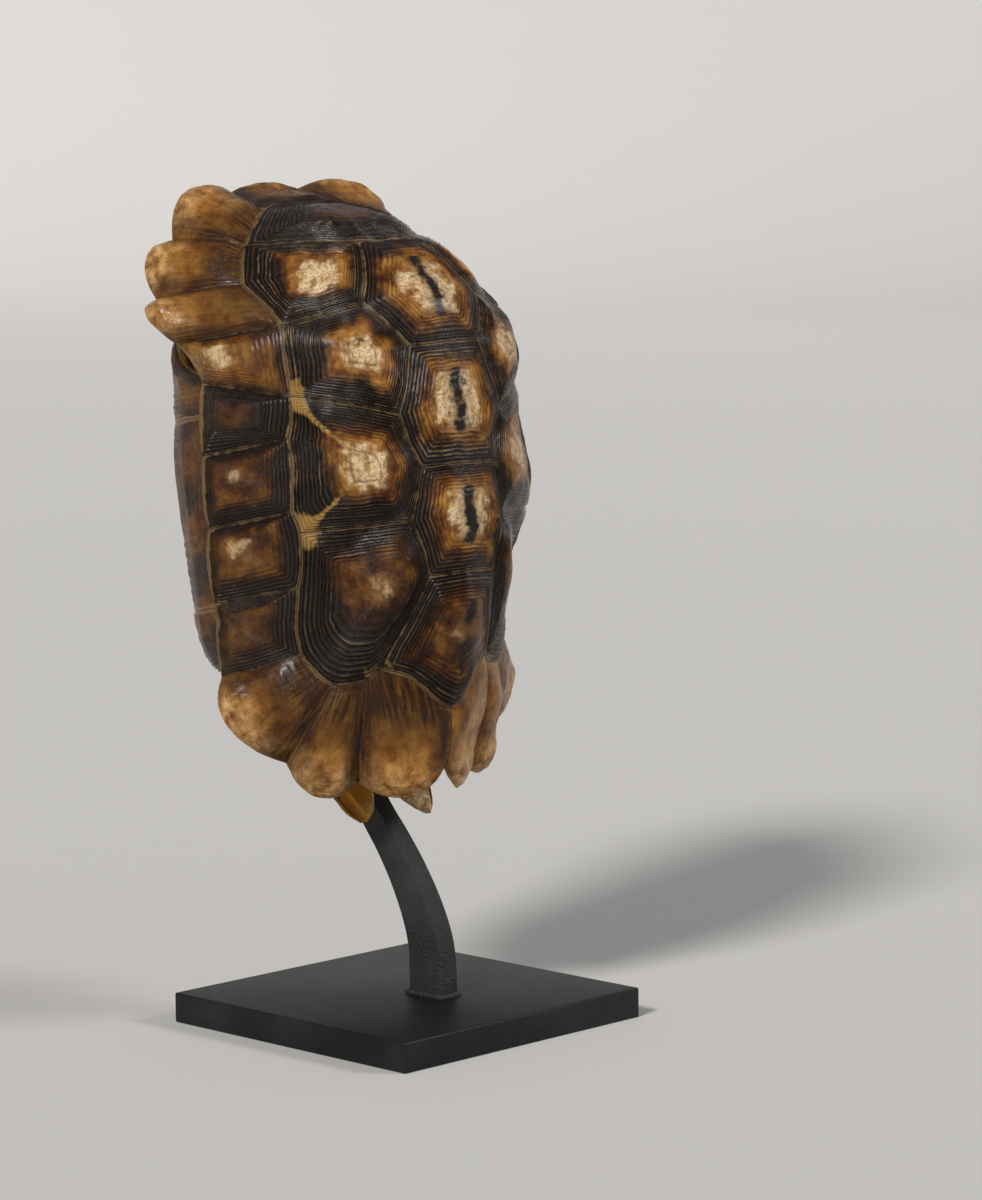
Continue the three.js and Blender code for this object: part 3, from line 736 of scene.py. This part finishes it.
PLASTRAL_SEAMS = [-134, -106, -74, -50, 18, 50, 80]
PLASTRAL_CORES = [(-124, 0.55), (-84, 0.72), (-58, 0.8), (4, 0.62), (44, 0.75), (66, 0.6)]
RUNGS = 22


def plastral_scute(horn, k, flip, seed):
    """One flat scute of the plastron, k from the neck to the tail; gives its mesh lines on the midline."""
    lo, hi = PLASTRAL_SEAMS[k], PLASTRAL_SEAMS[k + 1]
    steps = max(6, round((hi - lo) / 2.0))
    xs = lo + (hi - lo) * np.arange(steps) / steps
    rs = np.arange(RUNGS) / RUNGS
    loop = np.concatenate([
        np.stack([xs, 0 * xs], -1), np.stack([0 * rs + hi, rs], -1),
        np.stack([hi + lo - xs, 0 * xs + 1], -1), np.stack([0 * rs + lo, 1 - rs], -1)])
    if flip:
        loop = loop[::-1]

    def place(x, r, h):
        r, x = np.clip(r, 0, 1), np.clip(x, PLASTRON_NECK, PLASTRON_TAIL)
        p = plastron_point(x, r)
        neckward, tailward = np.maximum(x - 0.6, PLASTRON_NECK), np.minimum(x + 0.6, PLASTRON_TAIL)
        a = plastron_point(tailward, r) - plastron_point(neckward, r)
        b = plastron_point(x, np.minimum(r + 0.02, 1)) - plastron_point(x, np.maximum(r - 0.02, 0))
        p = p + unit(np.cross(b, a)) * h[:, None]
        if flip:
            p[:, 1] *= -1
        return p

    def marks(points, growth, flat):
        if k == 0:
            return {"tip": 0.3, "flare": 0.5, "amber": 2.0}
        outer = np.clip((flat[:, 1] - 0.35) / 0.4, 0, 1)
        blotch = np.clip(wave(flat * np.array([1, 40]), 77 + k, 26.0) * 1.2 + 0.45 * outer, 0, 0.9)
        return {"stain": blotch, "tip": 0.1, "flare": 0.5, "deep": 0.35 + 0.45 * outer}

    scute(horn, loop, np.array(PLASTRAL_CORES[k]), PLASTRAL_RINGS[k], 0.18, place, 0.9, 0.26, seed, 0, 1.4,
          1.7, marks=marks)
    return xs


def cream_tip(points, side):
    """How cream the horn is: only at the end of the left gular prong."""
    return np.clip((-112 - points[:, 0]) / 10, 0, 0.9) * (side < 0)


def plastron_lining(horn, xs, rs, side):
    """Bone side of one half of the plastron, honey-coloured horn on its gular prong."""
    gx, gr = np.meshgrid(xs, rs, indexing="ij")
    lining = plastron_point(gx.ravel(), gr.ravel(), 1.0)
    lining[:, 1] *= side
    facts = {"bone": np.clip((lining[:, 0] + 114) / 8, 0, 1),
             "tip": np.clip((-124 - lining[:, 0]) / 8, 0, 0.3), "pale": cream_tip(lining, side),
             "ridge": 0.8, "tone": 0.5, "growth": 0.5, "amber": 2.4, "edge": 9, "flare": 1}
    horn.add(lining, facts, grid_faces(len(xs), len(rs), closed=False)[:, TURNED])


def plastron_edges(horn, xs, rs, side):
    """Edges of one half of the plastron, from its outside to its lining, and inside its two notches."""
    edges = [(xs, np.ones(len(xs))), (np.full(len(rs), xs[0]), rs), (np.full(len(rs), xs[-1]), rs)]
    for low, high in ((PLASTRON_NECK, FORK[-1, 0]), (ANAL_NOTCH[0, 0], PLASTRON_TAIL)):
        here = xs[(xs >= low - NEAR) & (xs <= high + NEAR)]
        edges.append((here, np.zeros(len(here))))
    for x, r in edges:
        both = np.vstack([plastron_point(x, r), plastron_point(x, r, 1.0)])
        both[:, 1] *= side
        facts = {"tip": np.clip((-124 - both[:, 0]) / 10, 0, 0.5), "pale": cream_tip(both, side),
                 "amber": np.where(both[:, 0] < -104, 2.4, 1.2), "ridge": 0.8, "tone": 0.5, "growth": 0.5,
                 "edge": 9, "flare": 1}
        horn.add(both, facts, grid_faces(2, len(x), closed=False)[:, TURNED])


def grow_plastron():
    """The belly side: six pairs of scutes outside, bone inside, closed round the edge."""
    horn = Horn()
    xs = []
    for k in range(6):
        xs.append(plastral_scute(horn, k, False, 400 + k))
        plastral_scute(horn, k, True, 420 + k)
    xs = np.append(np.concatenate(xs), PLASTRAL_SEAMS[-1])
    rs = np.linspace(0, 1, RUNGS + 1)
    for side in (1, -1):
        plastron_lining(horn, xs, rs, side)
        plastron_edges(horn, xs, rs, side)
    return horn.piece("plastron")


# ---------------------------------------------------------------- stand pieces
def smooth_path(points, t):
    """Point and direction on a smooth curve through the stations."""
    n = len(points) - 1
    x = t * n
    k = np.clip(np.floor(x).astype(int), 0, n - 1)
    f = (x - k)[:, None]
    p = np.vstack([2 * points[0] - points[1], points, 2 * points[-1] - points[-2]])
    a, b, c, d = p[k], p[k + 1], p[k + 2], p[k + 3]
    slope, bow, twist = c - a, 2 * a - 5 * b + 4 * c - d, 3 * b - a - 3 * c + d
    place = 0.5 * (2 * b + slope * f + bow * f ** 2 + twist * f ** 3)
    way = 0.5 * (slope + 2 * bow * f + 3 * twist * f ** 2)
    return place, way


def round_edges(obj, width, steps, smooth):
    """Rounds the sharp edges of a steel piece and shades it smooth up to so many degrees."""
    edges = obj.modifiers.new("edges", "BEVEL")
    edges.width = width * MM
    edges.segments = steps
    edges.limit_method = "ANGLE"
    edges.angle_limit = math.radians(50)
    bpy.ops.object.modifier_apply(modifier="edges")
    finish_piece(obj)
    bpy.ops.object.shade_smooth_by_angle(angle=math.radians(smooth))


def forge_bar():
    """The flat bar, drawn up from its foot, turned along its bend and drawn thinner, its edges rounded."""
    place, way = smooth_path(BAR_PATH, np.linspace(0, 1, 111))
    lean = np.arctan2(way[:, 0], way[:, 1])
    bpy.ops.object.select_all(action="DESELECT")
    bpy.ops.mesh.primitive_plane_add(size=1, location=(BAR_X * MM, place[0, 0] * MM, place[0, 1] * MM))
    bar = bpy.context.object
    bar.name = "curved_bar"
    bar.scale = (BAR_THICK * MM, place[0, 2] * MM, 1)
    bpy.ops.object.transform_apply(location=True, rotation=True, scale=True)
    bpy.ops.object.mode_set(mode="EDIT")
    bpy.ops.mesh.select_mode(type="FACE")
    bpy.ops.mesh.select_all(action="SELECT")
    for k in range(1, len(place)):
        step = (place[k, :2] - place[k - 1, :2]) * MM
        middle = (BAR_X * MM, place[k, 0] * MM, place[k, 1] * MM)
        thinner = place[k, 2] / place[k - 1, 2]
        bpy.ops.mesh.extrude_region_move(TRANSFORM_OT_translate={"value": (0, step[0], step[1])})
        bpy.ops.transform.rotate(value=lean[k] - lean[k - 1], orient_axis="X", center_override=middle)
        bpy.ops.transform.resize(value=(1, thinner, thinner), center_override=middle)
    bpy.ops.object.mode_set(mode="OBJECT")
    round_edges(bar, BAR_EDGE, 4, 40)
    return bar


def lay_weld():
    """The bead of weld round the foot of the bar, laid in overlapping drops."""
    half_x, half_y = BAR_THICK / 2 - BAR_EDGE, BAR_PATH[0][2] / 2 - BAR_EDGE
    arc = np.radians(np.arange(0, 369, 9.0) % 360)
    path = np.stack([np.sign(np.cos(arc)) * half_x + BAR_EDGE * np.cos(arc),
                     np.sign(np.sin(arc)) * half_y + BAR_EDGE * np.sin(arc)], -1)
    run = np.concatenate([[0], np.cumsum(np.linalg.norm(np.diff(path, axis=0), axis=1))])
    at = np.linspace(0, run[-1], WELD_STEPS, endpoint=False)
    line = np.stack([np.interp(at, run, path[:, 0]), np.interp(at, run, path[:, 1])], -1)
    way = unit(np.roll(line, -1, axis=0) - np.roll(line, 1, axis=0))
    drops = np.abs(np.sin(math.pi * at * WELD_DROPS / run[-1]))
    thick = 1.05 + 0.32 * drops + 0.18 * wave(line, 61, 7.0)
    around = np.arange(WELD_SIDES) / WELD_SIDES * TAU
    reach = 0.55 + thick[:, None] * np.cos(around)
    x = BAR_X + line[:, :1] + way[:, 1:] * reach
    y = BAR_PATH[0][0] + line[:, 1:] - way[:, :1] * reach
    z = PLATE_THICK + 0.35 + thick[:, None] * np.sin(around)
    bead = np.stack([x, y, z], -1).reshape(-1, 3)
    faces = grid_faces(WELD_STEPS + 1, WELD_SIDES, closed=True)[:, TURNED] % len(bead)
    mesh = bpy.data.meshes.new("weld")
    mesh.from_pydata((bead * MM).tolist(), [], faces.tolist())
    weld = put_in("weld_bead", mesh)
    finish_piece(weld)
    return weld


def cut_plate():
    """The square plate that the stand rests on, its edges a little rounded."""
    bpy.ops.object.select_all(action="DESELECT")
    bpy.ops.mesh.primitive_cube_add(size=1, location=(0, 0, PLATE_THICK / 2 * MM),
                                    scale=(PLATE_SIDE * MM, PLATE_SIDE * MM, PLATE_THICK * MM))
    plate = bpy.context.object
    plate.name = "square_plate"
    bpy.ops.object.transform_apply(location=True, rotation=True, scale=True)
    round_edges(plate, PLATE_EDGE, 3, 35)
    return plate


# ---------------------------------------------------------------- finishes
class Value:
    """A number or colour that a finish works out: plain signs join two, held keeps one between 0 and 1."""

    def __init__(self, tree, socket):
        self.tree = tree
        self.socket = socket

    def reckon(self, how, first, second):
        """A new value, worked out from two others."""
        node = self.tree.nodes.new("ShaderNodeMath")
        node.operation = how
        feed(node.inputs[0], first)
        feed(node.inputs[1], second)
        return Value(self.tree, node.outputs[0])

    def held(self):
        self.socket.node.use_clamp = True
        return self

    def __rsub__(self, other):
        return self.reckon("SUBTRACT", other, self)


# the other signs and comparisons, each with its operation
for sign, operation in (("__add__", "ADD"), ("__sub__", "SUBTRACT"), ("__mul__", "MULTIPLY"),
                        ("__pow__", "POWER"), ("at_least", "MAXIMUM"), ("below", "LESS_THAN"),
                        ("above", "GREATER_THAN")):
    setattr(Value, sign, lambda self, other, how=operation: self.reckon(how, self, other))


def feed(socket, value):
    """Links a worked-out value to a socket, or sets the socket to a plain number or colour."""
    if isinstance(value, Value):
        value.tree.links.new(value.socket, socket)
    elif isinstance(value, tuple):
        socket.default_value = (*value, 1)
    else:
        socket.default_value = value


def new_finish(name):
    """An empty finish: the material, its tree and the sockets of its shader."""
    material = bpy.data.materials.new(name)
    material.use_nodes = True
    tree = material.node_tree
    return material, tree, tree.nodes["Principled BSDF"].inputs


def fact(tree, name):
    """What the points of a piece say about one thing, such as how stained they are."""
    node = tree.nodes.new("ShaderNodeAttribute")
    node.attribute_name = name
    return Value(tree, node.outputs["Fac"])


def grain(tree, scale, detail, rough, stretch=None):
    """Mottled value on the piece's own metres or, with a stretch, drawn out on the scute's flat map."""
    node = tree.nodes.new("ShaderNodeTexNoise")
    feed(node.inputs["Scale"], scale)
    feed(node.inputs["Detail"], detail)
    feed(node.inputs["Roughness"], rough)
    place = tree.nodes.new("ShaderNodeTexCoord").outputs["UV" if stretch else "Object"]
    if stretch:
        mapping = tree.nodes.new("ShaderNodeMapping")
        mapping.inputs["Scale"].default_value = stretch
        tree.links.new(place, mapping.inputs["Vector"])
        place = mapping.outputs["Vector"]
    tree.links.new(place, node.inputs["Vector"])
    return Value(tree, node.outputs["Fac"])


def ramp(source, stops):
    """Turns a value into a colour by stops, each a place and its colour, or its grey."""
    node = source.tree.nodes.new("ShaderNodeValToRGB")
    while len(node.color_ramp.elements) < len(stops):
        node.color_ramp.elements.new(0.5)
    for stop, (place, colour) in zip(node.color_ramp.elements, stops):
        stop.position = place
        stop.color = (*colour, 1) if isinstance(colour, tuple) else (colour, colour, colour, 1)
    feed(node.inputs["Fac"], source)
    return Value(source.tree, node.outputs["Color"])


def blend(amount, under, over, how="MIX"):
    """Lays one colour over another, by an amount between 0 and 1."""
    node = amount.tree.nodes.new("ShaderNodeMix")
    node.data_type = "RGBA"
    node.blend_type = how
    feed(node.inputs[0], amount)
    feed(node.inputs[6], under)
    feed(node.inputs[7], over)
    return Value(amount.tree, node.outputs[2])


def bump(height, strength, depth):
    """Fine relief, depth in metres."""
    node = height.tree.nodes.new("ShaderNodeBump")
    node.inputs["Strength"].default_value = strength
    node.inputs["Distance"].default_value = depth
    feed(node.inputs["Height"], height)
    return Value(height.tree, node.outputs["Normal"])


class HornReading:
    """All that the horn finish reads: the facts of the piece and the grains of its surface."""

    def __init__(self, tree):
        for name in ("growth", "ridge", "tone", "edge", "light_seam", "pale", "amber", "deep", "bone",
                     "yellow", "natal", "stain", "flare", "tip"):
            setattr(self, name, fact(tree, name))
        self.cloud = grain(tree, 70, 4, 0.6)
        self.patch = grain(tree, 120, 4, 0.6)
        self.mottle = grain(tree, 230, 5, 0.62)
        self.flake = grain(tree, 340, 6, 0.68)
        self.speck = grain(tree, 620, 5, 0.72)
        self.dots = grain(tree, 1500, 3, 0.6)
        self.streak = grain(tree, 1.0, 5, 0.65, stretch=(28.0, 260.0, 1.0))
        self.fine = grain(tree, 1.0, 4, 0.6, stretch=(45.0, 900.0, 1.0))
        self.crest = self.ridge.at_least(0.0)
        self.uneven = self.mottle - 0.5


def dark_rings(horn):
    """Black grooves, deepened with painted shade, and grey brown crests, rubbed to thin light lines in
    places.
    """
    # painted shade: the ramp from groove to crest darkens the grooves of the rings
    groove_shaded_rings = ramp(horn.crest, [(0.0, (0.0016, 0.0008, 0.0005)), (0.55, (0.0060, 0.0030, 0.0017)),
                             (1.0, (0.021, 0.0115, 0.0062))])
    rubbed = horn.crest ** 5.0 * (horn.mottle - 0.40)
    rubbed = (rubbed * (horn.tone ** 3.0 * 9.0 + 0.8)).held() * (1.0 - horn.deep * 0.7)
    return blend(rubbed, groove_shaded_rings, (0.235, 0.145, 0.070))


def amber_field(horn, colour):
    """Amber over the older rings, its grooves darkened with painted shade, honey coloured where it is
    thickest.
    """
    patchy = horn.patch * 0.65 + horn.streak * 0.35 + (horn.amber - 0.75) * 0.10 - horn.deep * 0.05
    amber = ramp(patchy, [(0.38, (0.034, 0.0080, 0.0008)), (0.47, (0.130, 0.037, 0.0032)),
                          (0.54, (0.295, 0.115, 0.014)), (0.64, (0.480, 0.235, 0.048))])
    worn = ramp(horn.cloud * 0.7 + horn.streak * 0.3,
                [(0.38, (0.100, 0.029, 0.003)), (0.50, (0.300, 0.118, 0.015)), (0.62, (0.500, 0.240, 0.044))])
    amber = blend(horn.flare, amber, worn)
    amber = blend(horn.deep * 0.9, amber, (0.20, 0.17, 0.12), how="MULTIPLY")
    honey = (horn.amber - 1.4).held()
    amber = blend(honey * 0.8, amber, (0.62, 0.27, 0.030))
    late = ramp(horn.growth, [(0.40, 0), (0.62, 1)])
    # painted shade: the grooves of the later rings darkened nearly to black
    groove_shade = (late * 0.45 + 0.13) * (1.0 - horn.flare * 0.85) * (1.0 - horn.crest)
    amber = blend(groove_shade.held(), amber, (0.014, 0.005, 0.0015))
    reach = (horn.amber + horn.uneven * 2.2).held() * (horn.amber * 1.5).held()
    return blend(reach, colour, amber)


def cream_core(horn, colour):
    """Worn cream growth centre with dark specks, a warm halo and the square of the hatchling's scute."""
    halo = (horn.pale ** 0.8 * ((horn.mottle - 0.2) * 1.6)).held()
    colour = blend(halo, colour, (0.42, 0.215, 0.062))
    cream = ramp(horn.speck * 0.5 + horn.mottle * 0.5,
                 [(0.38, (0.17, 0.085, 0.032)), (0.46, (0.46, 0.29, 0.135)), (0.56, (0.74, 0.58, 0.36))])
    specks = ((horn.dots + horn.mottle * 0.8 - 1.02) * 14.0).held()
    cream = blend(specks * 0.7, cream, (0.035, 0.020, 0.012))
    reach = ((horn.pale - 0.30 + horn.uneven * 2.6) * 2.0).held()
    reach = reach * (horn.pale * 3.0).held() * (1.0 - horn.deep * 0.65)
    colour = blend(reach, colour, cream)
    square = (horn.ridge * -1.8 * horn.natal).held()
    return blend(square * 0.5, colour, (0.050, 0.026, 0.012))


def tan_lips(horn, colour):
    """Tan lips of the flared scutes, rubbed pale at the very edge."""
    tan = ramp(horn.mottle,
               [(0.30, (0.15, 0.055, 0.010)), (0.5, (0.42, 0.215, 0.066)), (0.68, (0.66, 0.43, 0.20))])
    reach = (horn.tip + (horn.cloud - 0.5) * 1.6).held() * (horn.tip * 1.4).held()
    return blend(reach, colour, tan)


def dark_stains(horn, colour):
    """The ragged dark stripe down the back, and smooth brown gutters between the flared scutes."""
    ragged = ((horn.stain - 0.36) * 2.0 + horn.uneven * 4.2).held()
    smooth = (horn.stain * (horn.streak * 2.6 - 0.30)).held()
    tint = blend(horn.flare, (0.010, 0.0055, 0.0035), (0.026, 0.0095, 0.0025))
    return blend(blend(horn.flare, ragged, smooth), colour, tint)


def light_seams(horn, colour):
    """Yellow horn at the corners, darkened in its grooves with painted shade, and light lines with a fine
    dark crack along the seams.
    """
    corner = ((horn.yellow - 0.42 + horn.uneven * 1.7) * 3.0).held()
    # painted shade: the yellow horn darker where the grooves between ring crests lie
    yellow = blend((1.0 - horn.crest) * 0.5, (0.36, 0.21, 0.055), (0.10, 0.05, 0.012))
    colour = blend(corner, colour, yellow)
    line = ((horn.light_seam + horn.uneven * 2.6 - horn.edge) * 2.4).held()
    colour = blend(line * 0.8, colour, (0.185, 0.112, 0.048))
    crack = horn.edge.below(0.16) * horn.light_seam.above(0.1)
    return blend(crack * 0.85, colour, (0.02, 0.010, 0.005))


def horn_finish(name):
    """Ridged horn outside and dry bone inside, under a soft gloss."""
    material, tree, shader = new_finish(name)
    horn = HornReading(tree)
    colour = amber_field(horn, dark_rings(horn))
    colour = tan_lips(horn, cream_core(horn, colour))
    colour = light_seams(horn, dark_stains(horn, colour))
    bone = ramp(horn.mottle, [(0.3, (0.34, 0.23, 0.12)), (0.7, (0.58, 0.46, 0.30))])
    feed(shader["Base Color"], blend(horn.bone, colour, bone))

    rough = ramp(horn.speck, [(0.3, 0.17), (0.7, 0.40)])
    rough = blend(horn.pale * 0.7, rough, (0.62, 0.62, 0.62))
    feed(shader["Roughness"], blend(horn.bone, rough, (0.7, 0.7, 0.7)))
    shader["Specular IOR Level"].default_value = 0.15
    shader["Coat Weight"].default_value = 0.28
    shader["Coat Roughness"].default_value = 0.17
    shader["Coat IOR"].default_value = 1.38

    flaking = ramp(horn.flake, [(0.46, 0), (0.53, 1)]) * horn.tip
    height = horn.fine * 0.55 + horn.speck * 0.45 + flaking * 0.9
    feed(shader["Normal"], bump(height, 0.6, 0.0006))
    feed(shader["Coat Normal"], bump(height, 0.14, 0.0006))
    return material


def paint_finish(name, colour, rough, grit, depth):
    """Black paint over steel, with the grit of the coat and rubbed, dusty patches."""
    material, tree, shader = new_finish(name)
    grit_height = grain(tree, grit, 3, 0.6)
    dusty = tuple(c * 1.9 + 0.006 for c in colour)
    feed(shader["Base Color"], ramp(grain(tree, 45, 4, 0.6), [(0.35, colour), (0.75, dusty)]))
    feed(shader["Roughness"], ramp(grit_height, [(0.3, rough - 0.08), (0.7, rough + 0.1)]))
    shader["Specular IOR Level"].default_value = 0.22
    feed(shader["Normal"], bump(grit_height, 0.6, depth))
    return material


def plain_finish(name, colour, rough):
    """One even colour."""
    material, _, shader = new_finish(name)
    shader["Base Color"].default_value = (*colour, 1)
    shader["Roughness"].default_value = rough
    return material


# ---------------------------------------------------------------- camera, floor and light
CAMERA_AT = (-1.0010, -1.0259, 0.3260)
CAMERA_YAW = math.radians(45.57)
CAMERA_PITCH = math.radians(6.84)
CAMERA_ROLL = math.radians(-0.49)
FLOOR_REACH = 5.5
FLOOR_CURVE = 1.5
CURVE_STEPS = 8
WALL_RISE = 1.2


def set_camera():
    """A long lens that looks a little down on the back of the shell, from beside the corner of the plate."""
    lens = bpy.data.cameras.new("camera")
    lens.lens = 120
    lens.sensor_width = 36
    lens.clip_end = 50
    camera = put_in("camera", lens)
    camera.matrix_world = (Matrix.Translation(CAMERA_AT) @ Matrix.Rotation(-CAMERA_YAW, 4, "Z")
                           @ Matrix.Rotation(math.pi / 2 - CAMERA_PITCH, 4, "X")
                           @ Matrix.Rotation(CAMERA_ROLL, 4, "Z"))
    bpy.context.scene.camera = camera


def soft_sun(name, from_way, strength, softness, colour):
    """Wide soft light from far off, so the floor is lit evenly."""
    data = bpy.data.lights.new(name, "SUN")
    data.energy = strength
    data.angle = math.radians(softness)
    data.color = colour
    sun = put_in(name, data)
    sun.rotation_euler = Vector(from_way).to_track_quat("Z", "Y").to_euler()
    sun.location = Vector(from_way) * 2


def set_floor():
    """A round pale floor that rises in a curve to a low wall far off."""
    bpy.ops.object.select_all(action="DESELECT")
    bpy.ops.mesh.primitive_circle_add(vertices=96, radius=FLOOR_REACH, fill_type="NGON", location=(0, 0, 0))
    floor = bpy.context.object
    floor.name = "floor"
    bpy.ops.object.mode_set(mode="EDIT")
    bpy.ops.mesh.select_mode(type="EDGE")
    bpy.ops.mesh.select_all(action="SELECT")
    for step in range(CURVE_STEPS):
        before, after = math.pi / 2 * step / CURVE_STEPS, math.pi / 2 * (step + 1) / CURVE_STEPS
        rise = FLOOR_CURVE * (math.cos(before) - math.cos(after))
        wider = (FLOOR_REACH + FLOOR_CURVE * math.sin(after)) / (FLOOR_REACH + FLOOR_CURVE * math.sin(before))
        bpy.ops.mesh.extrude_edges_move(TRANSFORM_OT_translate={"value": (0, 0, rise)})
        bpy.ops.transform.resize(value=(wider, wider, 1))
    bpy.ops.mesh.extrude_edges_move(TRANSFORM_OT_translate={"value": (0, 0, WALL_RISE)})
    bpy.ops.object.mode_set(mode="OBJECT")
    bpy.ops.object.shade_smooth()
    floor.data.materials.append(plain_finish("pale_floor", (0.54, 0.535, 0.526), 0.85))


def set_light():
    """A pale room, a soft key light from the left and a weaker one from the right."""
    world = bpy.data.worlds.new("studio")
    world.use_nodes = True
    world.node_tree.nodes["Background"].inputs["Color"].default_value = (0.80, 0.80, 0.81, 1)
    world.node_tree.nodes["Background"].inputs["Strength"].default_value = 0.26
    bpy.context.scene.world = world
    soft_sun("key", (-1.5, -0.35, 1.15), 2.9, 11, (1, 0.975, 0.94))
    soft_sun("fill", (0.85, -1.20, 0.90), 1.35, 14, (1, 0.98, 0.96))
    bpy.context.scene.view_settings.view_transform = "Standard"


set_camera()
set_floor()
set_light()

carapace = grow_carapace()
finish_piece(carapace)
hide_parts("shell")
ridged_horn = horn_finish("ridged_horn")
carapace.data.materials.append(ridged_horn)

plastron = grow_plastron()
finish_piece(plastron)
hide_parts("shell")
plastron.data.materials.append(ridged_horn)

bar = forge_bar()
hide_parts("bar")
bar_black = paint_finish("bar_black", (0.018, 0.018, 0.0185), 0.46, 1000, 0.0014)
bar.data.materials.append(bar_black)

weld = lay_weld()
weld.data.materials.append(bar_black)

plate = cut_plate()
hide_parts("base_plate")
plate.data.materials.append(paint_finish("plate_black", (0.004, 0.004, 0.0042), 0.45, 2600, 0.00008))
